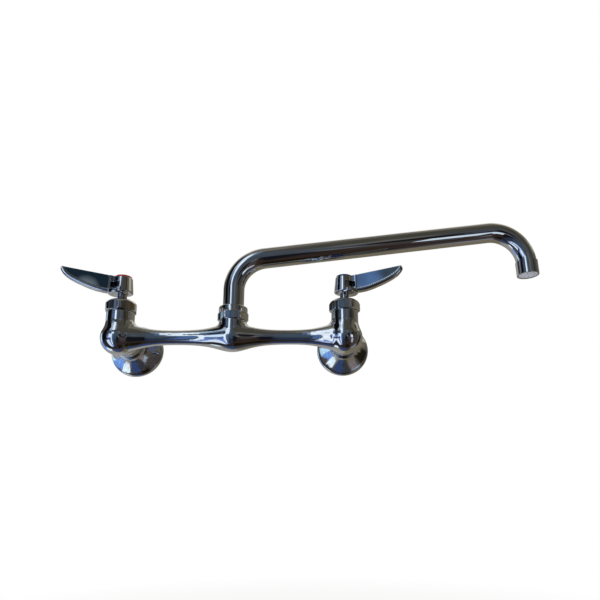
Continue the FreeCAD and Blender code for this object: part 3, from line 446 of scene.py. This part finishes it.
def valve_line(x):
    """The point where a valve's axis meets the level of the body's arm."""
    return Vector((x, bpy.context.scene.faucet_sizes.reach_y, 0))


class FAUCET_OT_body(bpy.types.Operator):
    """Build the polished body casting"""
    bl_idname = "faucet.body"
    bl_label = "Body Casting"

    def execute(self, context):
        skin = context.scene.faucet_sizes.casting_skin
        mop_rounds = 8
        body = polished_skin("body_shell", "body_casting", skin, mop_rounds)
        # A forging buffed by hand: waves of 15 mm, the deepest here, bend the room in it softly.
        finish = chrome("chrome_on_buffed_casting", context.scene.faucet_finishes.chrome,
                        15.0, 0.030)
        wear(body, finish, "body_casting")
        return {"FINISHED"}


class FAUCET_OT_flanges(bpy.types.Operator):
    """Spin the two wall flanges"""
    bl_idname = "faucet.flanges"
    bl_label = "Wall Flanges"

    def execute(self, context):
        sizes = context.scene.faucet_sizes
        # Turned on a lathe and buffed: waves of 11 mm, so the streaks on the cone run straighter.
        finish = chrome("chrome_on_turned_flange", context.scene.faucet_finishes.chrome,
                        11.0, 0.014)
        lip_middle, lip, brow_turn = (20.447, 1.0), 4.953, 51.95
        cone_foot, cone_top, cone_hollow = (23.5, 4.9), (13.6, 20.0), -0.4
        hub_corner, hub_edge = (12.7, 23.7), 0.9
        outline = [(25.4, 0.0)] + arc_run(lip_middle, lip, 0, brow_turn, 10)
        outline += bowed(cone_foot, cone_top, cone_hollow, 8)[1:]
        outline += arc_run(hub_corner, hub_edge, 0, 90, 4)
        # The inside: the bore, the snap ring's groove, the sleeve and the hollow under the cone.
        outline += [(8.0, 24.6), (8.0, 18.2), (9.6, 18.2), (9.6, 12.4), (9.1, 12.4),
                    (9.1, 0.0), (13.0, 0.0), (13.0, 15.6), (23.2, 0.0)]
        for side, x in (("hot", sizes.hot_valve_x), ("cold", sizes.cold_valve_x)):
            middle = Vector((x, 0, 0))
            flange = turned(side + "_flange_bell", outline, middle, FRONT, RIGHT, 128)
            soften(flange, 0.3 * MM)
            wear(flange, finish, side + "_wall_flange")
        return {"FINISHED"}


def hexagon(name, flats, low, top, turn, middle):
    """A hexagonal bar between two heights, with its first corner at the given heading.

    Its flats are crowned a little, as buffing leaves them.
    """
    cuts, crown = 9, 0.2
    put_down()
    corner = flats / math.sqrt(3)
    bpy.ops.mesh.primitive_cylinder_add(
        vertices=6, radius=corner * MM, depth=(top - low) * MM,
        location=middle + UP * (top + low) / 2 * MM,
        rotation=(0, 0, math.radians(turn - 90)))
    bar = bpy.context.object
    bpy.ops.object.mode_set(mode="EDIT")
    bpy.ops.mesh.select_all(action="SELECT")
    bpy.ops.mesh.subdivide(number_cuts=cuts)
    bpy.ops.object.mode_set(mode="OBJECT")
    modify(bar, "CAST", cast_type="CYLINDER", factor=crown, radius=0.0, size=corner * MM,
           use_radius_as_size=False)
    return settle(name)


class FAUCET_OT_bonnet_nuts(bpy.types.Operator):
    """Cut the two domed bonnet nuts from hexagonal bar"""
    bl_idname = "faucet.bonnet_nuts"
    bl_label = "Bonnet Nuts"

    def execute(self, context):
        sizes = context.scene.faucet_sizes
        # Milled from bar and buffed: waves of 8 mm, so each flat mirrors one plain patch.
        finish = chrome("chrome_on_hexagon_bar", context.scene.faucet_finishes.chrome,
                        8.0, 0.010)
        low, top, ceiling = 23.85, 34.8, 30.75
        dome_edge, dome_top, dome_bow = (14.2, 30.2), (7.0, top), 1.5
        thread, stem_hole = 10.9, 6.3
        form = [(0, low - 1), (12.8, low - 1), (12.8, low), (14.2, low + 0.7), dome_edge]
        form += bowed(dome_edge, dome_top, dome_bow, 12)[1:] + [(0, top)]
        hollow = [(0, low - 2), (thread, low - 2), (thread, ceiling), (stem_hole, ceiling),
                  (stem_hole, top + 1), (0, top + 1)]
        for side, x, turn in (("hot", sizes.hot_valve_x, 44.0), ("cold", sizes.cold_valve_x, 58.5)):
            middle = valve_line(x)
            nut = hexagon(side + "_nut", 25.4, low, top + 0.5, turn, middle)
            trim(nut, turned("form", form, middle), "INTERSECT")
            trim(nut, turned("hollow", hollow, middle), "DIFFERENCE")
            soften(nut, sizes.nut_edge)
            wear(nut, finish, side + "_bonnet_nut")
        return {"FINISHED"}


class FAUCET_OT_spout_nut(bpy.types.Operator):
    """Cut the spout nut: a hexagon under a round band"""
    bl_idname = "faucet.spout_nut"
    bl_label = "Spout Nut"

    def execute(self, context):
        sizes = context.scene.faucet_sizes
        # Milled and turned from bar, then buffed: waves of 8 mm bend the band's streaks a little.
        finish = chrome("chrome_on_spout_nut", context.scene.faucet_finishes.chrome,
                        8.0, 0.010)
        low, hexagon_top, band_low, top, ceiling = 15.05, 21.8, 22.7, 28.2, 23.45
        band_side, band_middle, band_round = 13.0, 11.4, 1.6
        thread, tube_hole = 10.9, 9.585
        middle = valve_line(RISER.x)
        form = [(0, low - 1), (12.5, low - 1), (12.5, low), (13.9, low + 0.7),
                (13.9, hexagon_top), (band_side, band_low), (0, band_low)]
        band = [(0, band_low - 1), (band_side, band_low - 1)]
        band += arc_run((band_middle, top - band_round), band_round, 0, 90, 6) + [(0, top)]
        hollow = [(0, low - 2), (thread, low - 2), (thread, ceiling), (tube_hole, ceiling),
                  (tube_hole, top + 1), (0, top + 1)]
        nut = hexagon("spout_nut_shell", 24.2, low, band_low,
                      math.degrees(sizes.spout_swing), middle)
        trim(nut, turned("form", form, middle), "INTERSECT")
        trim(nut, turned("band", band, middle), "UNION")
        trim(nut, turned("hollow", hollow, middle), "DIFFERENCE")
        soften(nut, sizes.nut_edge)
        wear(nut, finish, "spout_nut")
        return {"FINISHED"}


class FAUCET_OT_levers(bpy.types.Operator):
    """Build the two polished lever handles"""
    bl_idname = "faucet.levers"
    bl_label = "Lever Handles"

    def execute(self, context):
        sizes = context.scene.faucet_sizes
        mop_rounds = 20
        # Small castings buffed by hand: waves of 12 mm, and painted shade darkens the 7 mm pockets.
        finish = chrome("chrome_on_buffed_lever", context.scene.faucet_finishes.chrome,
                        12.0, 0.020, hollow_mm=7.0)
        # A round root widens each pocket of the neck, as the photo shows it.
        root, root_low, root_top = 2.7, 46.4, 51.5
        root_along, root_aside = 5.3, 7.6
        notch = [(0, root_low), (root, root_low), (root, root_top), (0, root_top)]
        for side, x in (("hot", sizes.hot_valve_x), ("cold", sizes.cold_valve_x)):
            low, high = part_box(side + "_lever")
            along = ((low + high) / 2 - valve_line(x)) * Vector((1, 1, 0))
            along.normalize()
            aside = along.cross(UP)
            places = [valve_line(x) + (root_along * along + root_aside * way) * MM
                      for way in (aside, -aside)]
            cuts = [turned("pocket_root", notch, place, steps=24) for place in places]
            lever = polished_skin(side + "_lever_blade", side + "_lever", sizes.lever_skin,
                                  mop_rounds, cuts)
            wear(lever, finish, side + "_lever")
        return {"FINISHED"}


class FAUCET_OT_buttons(bpy.types.Operator):
    """Turn the two coloured index buttons"""
    bl_idname = "faucet.buttons"
    bl_label = "Index Buttons"

    def execute(self, context):
        sizes = context.scene.faucet_sizes
        finishes = context.scene.faucet_finishes
        seat, rim_top, skirt_low = 56.75, 58.25, 54.05
        face, rim_round, face_bow = 6.7, 0.5, 0.12
        skirt_in, skirt_out = 5.1, 6.1
        outline = [(7.2, seat)] + arc_run((face, rim_top - rim_round), rim_round, 0, 90, 4)
        outline += bowed((face, rim_top), (0, rim_top + 0.5), face_bow, 8)[1:]
        outline += [(0, seat), (skirt_in, seat), (skirt_in, skirt_low),
                    (skirt_out, skirt_low), (skirt_out, seat)]
        for side, x, colour, dark in (
                ("hot", sizes.hot_valve_x, finishes.hot_index, "#6d1013"),
                ("cold", sizes.cold_valve_x, finishes.cold_index, "#131f45")):
            # Dyed acrylic: its clear skin adds a sharp glint to a deep colour. The real grain
            # is too fine to show, so it is drawn at 1.2 mm.
            finish = solid(side + "_index_acrylic", colour, dark, 0.22, 1.2, 0.01, coat=0.4)
            button = turned(side + "_index_cap", outline, valve_line(x), steps=64)
            soften(button, 0.15 * MM, segments=2)
            wear(button, finish, side + "_index_button")
        return {"FINISHED"}


class FAUCET_OT_spout(bpy.types.Operator):
    """Bend the spout tube and turn the ferrule at its outlet"""
    bl_idname = "faucet.spout"
    bl_label = "Spout"

    def execute(self, context):
        sizes = context.scene.faucet_sizes
        colour = context.scene.faucet_finishes.chrome
        foot = valve_line(RISER.x)
        along = Vector((math.cos(sizes.spout_swing), math.sin(sizes.spout_swing), 0))
        across = along.cross(UP)
        rise = sizes.run_rise
        first_turn = math.pi / 2 - rise
        last_turn = math.pi / 2 - sizes.outlet_tilt + rise
        # The tube stops inside the ferrule.
        tube_end = 3.3 * MM
        run = along * math.cos(rise) + UP * math.sin(rise)
        drop = along * math.sin(sizes.outlet_tilt) - UP * math.cos(sizes.outlet_tilt)
        put_down()
        bpy.ops.mesh.primitive_circle_add(vertices=96, radius=sizes.tube_radius,
                                          location=foot + UP * sizes.tube_start)
        bpy.ops.object.transform_apply(location=True, rotation=True, scale=True)
        bpy.ops.object.mode_set(mode="EDIT")
        bpy.ops.mesh.select_all(action="SELECT")
        grow = bpy.ops.mesh.extrude_region_move
        grow(TRANSFORM_OT_translate={"value": UP * (sizes.bend_start - sizes.tube_start)})
        spring = foot + UP * sizes.bend_start
        first_middle = spring + along * sizes.first_bend
        bpy.ops.mesh.spin(steps=40, angle=first_turn, center=first_middle, axis=across)
        grow(TRANSFORM_OT_translate={"value": run * sizes.run_length})
        run_end = (first_middle + sizes.first_bend * (UP * math.cos(rise) - along * math.sin(rise))
                   + run * sizes.run_length)
        last_middle = run_end + sizes.last_bend * (along * math.sin(rise) - UP * math.cos(rise))
        bpy.ops.mesh.spin(steps=40, angle=last_turn, center=last_middle, axis=across)
        grow(TRANSFORM_OT_translate={"value": drop * (sizes.outlet_length - tube_end)})
        bpy.ops.mesh.select_all(action="SELECT")
        bpy.ops.mesh.remove_doubles(threshold=WELD)
        bpy.ops.mesh.normals_make_consistent(inside=False)
        bpy.ops.object.mode_set(mode="OBJECT")
        tube = settle("spout_tube_bent")
        modify(tube, "SOLIDIFY", thickness=sizes.tube_wall, offset=-1)
        pick_up(tube)
        bpy.ops.object.shade_smooth_by_angle(angle=math.radians(35))
        # Drawn tube: waves of 9 mm, so the long streaks on the run waver a little.
        wear(tube, chrome("chrome_on_drawn_tube", colour, 9.0, 0.010),
             "spout_tube")
        aside = along * math.cos(sizes.outlet_tilt) + UP * math.sin(sizes.outlet_tilt)
        mouth = last_middle + aside * sizes.last_bend + drop * sizes.outlet_length
        bore, sleeve, seat, sleeve_top, lip = 8.825, 10.4, 9.525, 14.0, 0.7
        ferrule = turned("outlet_sleeve", [
            (bore, 0), (sleeve, 0), (sleeve, sleeve_top), (seat, sleeve_top), (seat, lip),
            (bore, lip)], mouth, -drop, aside)
        soften(ferrule, 0.3 * MM)
        # A small turned part: waves of 6 mm, and the truest mirror of all.
        wear(ferrule, chrome("chrome_on_turned_ferrule", colour, 6.0, 0.006),
             "outlet_ferrule")
        return {"FINISHED"}


class FAUCET_OT_inner_parts(bpy.types.Operator):
    """Finish the inner parts that keep their own meshes"""
    bl_idname = "faucet.inner_parts"
    bl_label = "Inner Parts"

    def execute(self, context):
        finishes = context.scene.faucet_finishes
        # The real grains are finer. Each is drawn as coarse as a near view needs to show it.
        made = {
            # Feed marks round the axis spread the highlight of turned brass.
            "turned_brass": solid("machined_brass", finishes.brass, "#8d6c35", 0.24, 0.4,
                                  0.004, 1.0, (1, 1, 9)),
            # Rolling lines give the steel a soft grey sheen.
            "stainless_steel": solid("rolled_stainless_steel", finishes.steel, "#8b8984",
                                     0.30, 0.5, 0.003, 1.0, (1, 6, 1)),
            # The plating follows the feed marks, so the stem is bright but no mirror.
            "plated_stem": solid("chrome_on_machined_stem", finishes.chrome, "#9a9da1",
                                 0.12, 0.5, 0.004, 1.0, (1, 1, 8)),
            # The mould's texture makes the rubber nearly matt.
            "seal_rubber": solid("moulded_seal_rubber", finishes.rubber, "#2b2a2a", 0.62,
                                 0.3, 0.010),
            # The lapped faces of fired ceramic have a dense, even gloss.
            "disc_ceramic": solid("fired_disc_ceramic", finishes.ceramic, "#d8d1c2", 0.16,
                                  0.3, 0.002),
            # Acetal straight from the mould has a waxy sheen.
            "light_plastic": solid("moulded_acetal", finishes.plastic, "#a9a59b", 0.42, 0.6,
                                   0.006),
        }
        # The grid's glossier acetal glints a little, and stains of 8 mm darken it.
        grid = solid("moulded_grid_acetal", finishes.grid, "#8f97ab", 0.30, 2.0, 0.006)
        for node, piece in frame["nodes"].items():
            if not piece.data.materials:
                continue
            slot = piece.data.materials[0].name.split(".")[0]
            if slot in made:
                piece.data.materials.clear()
                piece.data.materials.append(grid if node == "stream_former" else made[slot])
        return {"FINISHED"}


# Studio

# Soft patches of light and shade on the tent: heading from the front to the right, height
# above the horizon, half width, half height, lean of its sides, softness of its edge, colour.
PATCHES = (
    ("ceiling", 0, 90, 200, 32, 0.0, 0.25, "#6a665d"),
    ("ceiling_front", 28, 66, 40, 16, 0.0, 0.5, "#45423a"),
    ("back_left_wall", -155, -8, 38, 52, 0.0, 0.2, "#918f8c"),
    ("back_left_high", -160, 45, 30, 17, 0.0, 0.4, "#b9b6b1"),
    ("back_left_shade", -123, 18, 10, 9, 0.0, 0.3, "#232428"),
    ("back_right_high", 150, 44, 40, 17, 0.0, 0.4, "#bdb9ae"),
    ("back_right_wall", 146, 14, 32, 22, 0.0, 0.3, "#6b6557"),
    ("back_right_low", 148, -32, 32, 30, 0.0, 0.25, "#6f6757"),
    ("right_wall", 88, 34, 30, 30, 0.0, 0.25, "#5b5547"),
    ("right_shade", 70, 14, 12, 9, 0.0, 0.4, "#3d3424"),
    ("right_low", 75, -30, 18, 34, 0.0, 0.3, "#3e3a38"),
    ("right_corner", 110, -8, 8, 20, 0.0, 0.3, "#1b180f"),
    ("right_curtain", 97, 14, 5, 18, 0.0, 0.4, "#4b5163"),
    ("high_shelf", 112, 33, 18, 4.5, 0.0, 0.4, "#aaa69b"),
    ("right_bench", 111, -48, 9, 12, 0.0, 0.3, "#766c6e"),
    ("right_sheet", 99, -46, 3, 14, 0.0, 0.4, "#8d9aa8"),
    ("olive_wall", 30, 38, 36, 20, 0.0, 0.3, "#413f39"),
    ("slate_front", 30, 12, 24, 14, 0.0, 0.3, "#3f434a"),
    ("dark_front", 8, 8, 8, 20, 0.0, 0.3, "#434850"),
    ("brown_shelf", 15, 24, 6, 6, 0.0, 0.4, "#635f57"),
    ("black_gap", 21, 6, 6, 7, 0.0, 0.3, "#17120f"),
    ("doorway", 50, 4, 8, 14, 0.0, 0.2, "#100d0b"),
    ("door_post", 55, 28, 6, 24, 0.0, 0.35, "#2f2d26"),
    ("under_doorway", 30, -5, 12, 5, 0.0, 0.3, "#14110f"),
    ("front_floor", 20, -42, 44, 30, 0.0, 0.25, "#2e2420"),
    ("front_dark", 3, -26, 9, 22, 0.0, 0.35, "#12131a"),
    ("counter_glow", 23, -16, 6, 12, -0.3, 0.4, "#3c3837"),
    ("near_edge", 14, -5, 3, 4, -0.3, 0.4, "#5c5b60"),
    ("floor_edge", 35.5, -24, 4.5, 17, -0.22, 0.4, "#403c40"),
    ("floor_light", 52, -27, 7, 13, -0.3, 0.3, "#aaa5b2"),
    ("left_shade", -78, -35, 17, 28, 0.0, 0.3, "#26262d"),
    ("left_doorway", -78, 25, 17, 38, 0.0, 0.18, "#0b090b"),
    ("window_frame", -36, 30, 23, 31, 0.1, 0.2, "#71839b"),
    ("window_head", -44, 50, 13, 9, 0.0, 0.4, "#a3b2c1"),
    ("frame_low", -42, 19, 10, 8, 0.0, 0.4, "#3d444d"),
    ("window_light", -24, 36, 9, 23, -0.45, 0.2, "#e6f0fa"),
    ("blue_room", -44, -26, 14, 38, 0.1, 0.2, "#6a86c4"),
    ("room_sheet", -57, -37, 9, 20, 0.0, 0.25, "#d6e2f2"),
    ("room_bar", -52, -15, 17, 4, 0.0, 0.4, "#394358"),
    ("window_low", -37, 2, 10, 8, 0.2, 0.3, "#d3e3f6"),
    ("window_strip", -31, -12, 3.4, 38, 0.12, 0.3, "#e9f3fc"),
    ("frame_shade", -57, 19, 4.5, 15, 0.0, 0.4, "#27262c"),
    ("navy_front", -13, -32, 13, 31, 0.0, 0.2, "#283040"),
    ("blue_edge", -22, -14, 4, 22, 0.0, 0.3, "#4a6690"),
    ("slate_side", -8, 12, 8, 30, 0.0, 0.35, "#3d4a57"),
    ("grey_sheet", -13, 22, 4, 5, 0.0, 0.2, "#4c6790"),
    ("sky_sheet", -111, 4, 8, 12, 0.0, 0.25, "#b7daef"),
    ("blue_sheet", -114, -20, 9, 15, 0.1, 0.3, "#6f95d8"),
    ("white_sheet", -110, -44, 9, 12, 0.2, 0.2, "#e2f1fb"),
    ("ground_left", -140, -78, 45, 15, 0.0, 0.3, "#30426a"),
    ("ground_front", -45, -78, 50, 15, 0.0, 0.3, "#292629"),
    ("ground_right", 45, -76, 42, 15, 0.0, 0.3, "#191208"),
    ("ground_back", 135, -78, 46, 13, 0.0, 0.3, "#34363d"),
)
TENT_MIDDLE = Vector((0.06, -0.05, 0.04))
TENT_RADIUS = 2.4
TENT_LEVEL = 1.65
TENT_GROUND = "#4a4540"
LAMP_AIM = Vector((0.05, -0.05, 0.03))


def lay_patch(tree, heading, height, below, patch):
    """Lay one soft-edged patch, with rounded corners, over the colours laid so far."""
    name, at_heading, at_height, half_wide, half_tall, lean, soft, colour = patch
    rounding = 0.3
    up = add(tree, "ShaderNodeMath", {0: height, 1: at_height}, operation="SUBTRACT")
    leant = add(tree, "ShaderNodeMath", {0: up, 1: -lean, 2: heading}, operation="MULTIPLY_ADD")
    side = add(tree, "ShaderNodeMath", {0: leant, 1: at_heading}, operation="SUBTRACT")
    turn = add(tree, "ShaderNodeMath", {0: side, 1: 180, 2: -180}, operation="WRAP")
    aside = add(tree, "ShaderNodeMath", {0: turn}, operation="ABSOLUTE")
    away = add(tree, "ShaderNodeMath", {0: up}, operation="ABSOLUTE")
    wide = add(tree, "ShaderNodeMath", {0: aside, 1: half_wide}, operation="DIVIDE")
    tall = add(tree, "ShaderNodeMath", {0: away, 1: half_tall}, operation="DIVIDE")
    reach = add(tree, "ShaderNodeMath", {0: wide, 1: tall, 2: rounding}, operation="SMOOTH_MAX")
    cover = add(tree, "ShaderNodeMapRange", {
        "Value": reach, "From Min": 1 + soft, "From Max": 1 - soft, "To Min": 0.0,
        "To Max": 1.0}, interpolation_type="SMOOTHSTEP")
    cover.label = name
    mixed = add(tree, "ShaderNodeMix", {"Factor": cover, "A": below, "B": linear(colour)},
                data_type="RGBA")
    return mixed.outputs["Result"]


def hang(piece, made):
    """Give a piece of the studio its paint, and let only polished metal see it."""
    piece.data.materials.append(made)
    piece.visible_camera = False
    piece.visible_diffuse = False
    piece.visible_shadow = False


def tent():
    """A tent round the object, painted with light and shade, that only polished metal sees.

    Broad clouds bend the patches' edges, and a finer mottle varies their brightness, so that the
    reflections look like those of a real room.
    """
    cloud_scale, drift = 5.0, 0.16
    mottle_scale, dimmest, brightest = 16.0, 0.6, 1.35
    put_down()
    bpy.ops.mesh.primitive_uv_sphere_add(segments=64, ring_count=32, radius=TENT_RADIUS,
                                         location=TENT_MIDDLE)
    piece = settle("studio_tent")
    made, tree, where = bare("painted_studio_tent")
    off = add(tree, "ShaderNodeVectorMath", {0: where, 1: TENT_MIDDLE}, operation="SUBTRACT")
    aim = add(tree, "ShaderNodeVectorMath", {0: off}, operation="NORMALIZE")
    cloud = add(tree, "ShaderNodeTexNoise", {
        "Vector": aim, "Scale": cloud_scale, "Detail": 3.0}).outputs["Color"]
    about = add(tree, "ShaderNodeVectorMath", {0: cloud, 1: (0.5, 0.5, 0.5)},
                operation="SUBTRACT")
    drifted = add(tree, "ShaderNodeVectorMath", {0: about, 1: (drift, drift, drift), 2: aim},
                  operation="MULTIPLY_ADD")
    toward = add(tree, "ShaderNodeVectorMath", {0: drifted}, operation="NORMALIZE")
    right, back, up = add(tree, "ShaderNodeSeparateXYZ", {0: toward}).outputs
    front = add(tree, "ShaderNodeMath", {0: back, 1: -1.0}, operation="MULTIPLY")
    turn = add(tree, "ShaderNodeMath", {0: right, 1: front}, operation="ARCTAN2")
    lift = add(tree, "ShaderNodeMath", {0: up}, operation="ARCSINE")
    heading = add(tree, "ShaderNodeMath", {0: turn}, operation="DEGREES")
    height = add(tree, "ShaderNodeMath", {0: lift}, operation="DEGREES")
    laid = linear(TENT_GROUND)
    for patch in PATCHES:
        laid = lay_patch(tree, heading, height, laid, patch)
    mottle = add(tree, "ShaderNodeTexNoise", {
        "Vector": aim, "Scale": mottle_scale, "Detail": 4.0, "Roughness": 0.6}).outputs["Fac"]
    level = add(tree, "ShaderNodeMapRange", {
        "Value": mottle, "From Min": 0.3, "From Max": 0.7, "To Min": dimmest * TENT_LEVEL,
        "To Max": brightest * TENT_LEVEL})
    glow = add(tree, "ShaderNodeEmission", {"Color": laid, "Strength": level})
    add(tree, "ShaderNodeOutputMaterial", {"Surface": glow})
    hang(piece, made)


def reflection_card(name, place, aim, width, height, colour, spot, pale):
    """A small glowing card with a paler round spot, near the object, that only polished metal sees:
    it paints a reflection into the chrome, and its spot a painted highlight.
    """
    spot_radius, fade_radius = 0.004, 0.018
    put_down()
    turn = (Vector(aim) - Vector(place)).to_track_quat("Z", "Y").to_euler()
    bpy.ops.mesh.primitive_plane_add(size=1, location=place, rotation=turn)
    bpy.context.object.scale = (width, height, 1)
    piece = settle(name)
    made, tree, where = bare(name)
    off = add(tree, "ShaderNodeVectorMath", {0: where, 1: spot},
              operation="DISTANCE").outputs["Value"]
    near = add(tree, "ShaderNodeMapRange", {
        "Value": off, "From Min": spot_radius, "From Max": fade_radius, "To Min": 1.0,
        "To Max": 0.0})
    mixed = add(tree, "ShaderNodeMix", {"Factor": near, "A": linear(colour), "B": linear(pale)},
                data_type="RGBA")
    glow = add(tree, "ShaderNodeEmission", {
        "Color": mixed.outputs["Result"], "Strength": TENT_LEVEL})
    add(tree, "ShaderNodeOutputMaterial", {"Surface": glow})
    hang(piece, made)


def lay_floor(drop):
    """A pale floor that catches the shadow and fades to white far from the faucet."""
    radius, fade_start, fade_end = 14, 0.4, 1.0
    put_down()
    bpy.ops.mesh.primitive_circle_add(vertices=64, radius=radius, fill_type="NGON",
                                      location=(0, 0, drop))
    floor = settle("studio_floor")
    floor.visible_glossy = False
    made, tree, where = bare("pale_studio_floor")
    off = add(tree, "ShaderNodeVectorMath", {0: where}, operation="LENGTH").outputs["Value"]
    paint = add(tree, "ShaderNodeBsdfDiffuse", {"Color": linear("#f2f1ee")})
    glow = add(tree, "ShaderNodeEmission", {"Color": linear("#ffffff"), "Strength": 1.0})
    far = add(tree, "ShaderNodeMapRange", {
        "Value": off, "From Min": fade_start, "From Max": fade_end, "To Min": 0.55,
        "To Max": 1.0})
    rays = add(tree, "ShaderNodeLightPath").outputs["Is Camera Ray"]
    seen = add(tree, "ShaderNodeMath", {0: far, 1: rays}, operation="MULTIPLY")
    mixed = add(tree, "ShaderNodeMixShader", {"Fac": seen, 1: paint, 2: glow})
    add(tree, "ShaderNodeOutputMaterial", {"Surface": mixed})
    floor.data.materials.append(made)


def lamp(name, place, size, power):
    """A soft square lamp that is aimed at the faucet and leaves no mark in the chrome."""
    light = bpy.data.lights.new(name, "AREA")
    light.size = size
    light.energy = power
    held = bpy.data.objects.new(name, light)
    bpy.context.scene.collection.objects.link(held)
    held.location = place
    aim = LAMP_AIM - Vector(place)
    held.rotation_euler = aim.to_track_quat("-Z", "Y").to_euler()
    held.visible_glossy = False


def surround(level):
    """A world that looks white and lights matt surfaces at the given level."""
    world = bpy.data.worlds.new("white_surround")
    bpy.context.scene.world = world
    world.use_nodes = True
    tree = world.node_tree
    tree.nodes.clear()
    rays = add(tree, "ShaderNodeLightPath").outputs
    mirrored = add(tree, "ShaderNodeMath", {0: rays["Is Camera Ray"], 1: rays["Is Glossy Ray"]},
                   operation="MAXIMUM")
    seen = add(tree, "ShaderNodeMath", {0: mirrored, 1: rays["Is Transmission Ray"]},
               operation="MAXIMUM")
    strength = add(tree, "ShaderNodeMapRange", {"Value": seen, "To Min": level, "To Max": 1.0})
    sky = add(tree, "ShaderNodeBackground", {"Color": linear("#ffffff"), "Strength": strength})
    add(tree, "ShaderNodeOutputWorld", {"Surface": sky})


def photo_camera(studio):
    """The camera, placed and turned as the one that took the photo."""
    camera = bpy.data.objects.new("photo_camera", bpy.data.cameras.new("photo_camera"))
    bpy.context.scene.collection.objects.link(camera)
    camera.data.sensor_width = 36
    camera.data.lens = studio.camera_lens
    camera.data.shift_x, camera.data.shift_y = studio.camera_shift
    camera.data.clip_start = 0.01
    camera.data.clip_end = 60
    turn = (Matrix.Rotation(studio.camera_heading, 3, "Z")
            @ Matrix.Rotation(math.pi / 2 + studio.camera_pitch, 3, "X")
            @ Matrix.Rotation(studio.camera_roll, 3, "Z"))
    camera.rotation_euler = turn.to_euler()
    camera.location = studio.camera_place
    bpy.context.scene.camera = camera


class FAUCET_OT_studio(bpy.types.Operator):
    """Set up the floor, the tent, the cards, the lamps, the world and the camera"""
    bl_idname = "faucet.studio"
    bl_label = "Studio"

    def execute(self, context):
        studio = context.scene.faucet_studio
        fill_share = 0.45
        lay_floor(studio.floor_height)
        tent()
        # Painted reflections: a dark glowing card with a pale spot darkens the hot lever's blade in
        # the chrome, and a bright card paints a highlight along the spout's run.
        reflection_card("lever_dark_reflection", (-0.156, -0.250, 0.125), (-0.136, -0.063, 0.056), 0.085, 0.060,
             "#16242e", (-0.152, -0.250, 0.109), "#7d8890")
        reflection_card("run_highlight", (0.368, -0.350, -0.025), (0.205, -0.060, 0.105), 0.110, 0.110,
             "#c4d2de", (0.368, -0.350, -0.025), "#e6eef5")
        lamp("key_lamp", (-0.8, -1.1, 1.0), 0.9, studio.lamp_power)
        lamp("fill_lamp", (1.1, -0.9, 0.5), 1.2, studio.lamp_power * fill_share)
        surround(studio.world_level)
        photo_camera(studio)
        context.scene.view_settings.view_transform = "Standard"
        return {"FINISHED"}


class FAUCET_PT_panel(bpy.types.Panel):
    """Lists the pieces in the order in which they are built"""
    bl_label = "Wall Faucet"
    bl_idname = "FAUCET_PT_panel"
    bl_space_type = "VIEW_3D"
    bl_region_type = "UI"
    bl_category = "Faucet"

    def draw(self, context):
        for step in STEPS:
            self.layout.operator(step)


STEPS = ("faucet.inner_parts", "faucet.body", "faucet.flanges", "faucet.bonnet_nuts",
         "faucet.spout_nut", "faucet.levers", "faucet.buttons", "faucet.spout",
         "faucet.studio")
CLASSES = (FaucetSizes, FaucetFinishes, StudioSettings, FAUCET_OT_body, FAUCET_OT_flanges,
           FAUCET_OT_bonnet_nuts, FAUCET_OT_spout_nut, FAUCET_OT_levers, FAUCET_OT_buttons,
           FAUCET_OT_spout, FAUCET_OT_inner_parts, FAUCET_OT_studio, FAUCET_PT_panel)


def register():
    for made in CLASSES:
        bpy.utils.register_class(made)
    bpy.types.Scene.faucet_sizes = bpy.props.PointerProperty(type=FaucetSizes)
    bpy.types.Scene.faucet_finishes = bpy.props.PointerProperty(type=FaucetFinishes)
    bpy.types.Scene.faucet_studio = bpy.props.PointerProperty(type=StudioSettings)


def unregister():
    del bpy.types.Scene.faucet_studio
    del bpy.types.Scene.faucet_finishes
    del bpy.types.Scene.faucet_sizes
    for made in reversed(CLASSES):
        bpy.utils.unregister_class(made)


def main():
    register()
    bpy.ops.faucet.inner_parts()
    bpy.ops.faucet.body()
    bpy.ops.faucet.flanges()
    bpy.ops.faucet.bonnet_nuts()
    bpy.ops.faucet.spout_nut()
    bpy.ops.faucet.levers()
    bpy.ops.faucet.buttons()
    bpy.ops.faucet.spout()
    bpy.ops.faucet.studio()
    put_down()


if __name__ == "__main__":
    main()
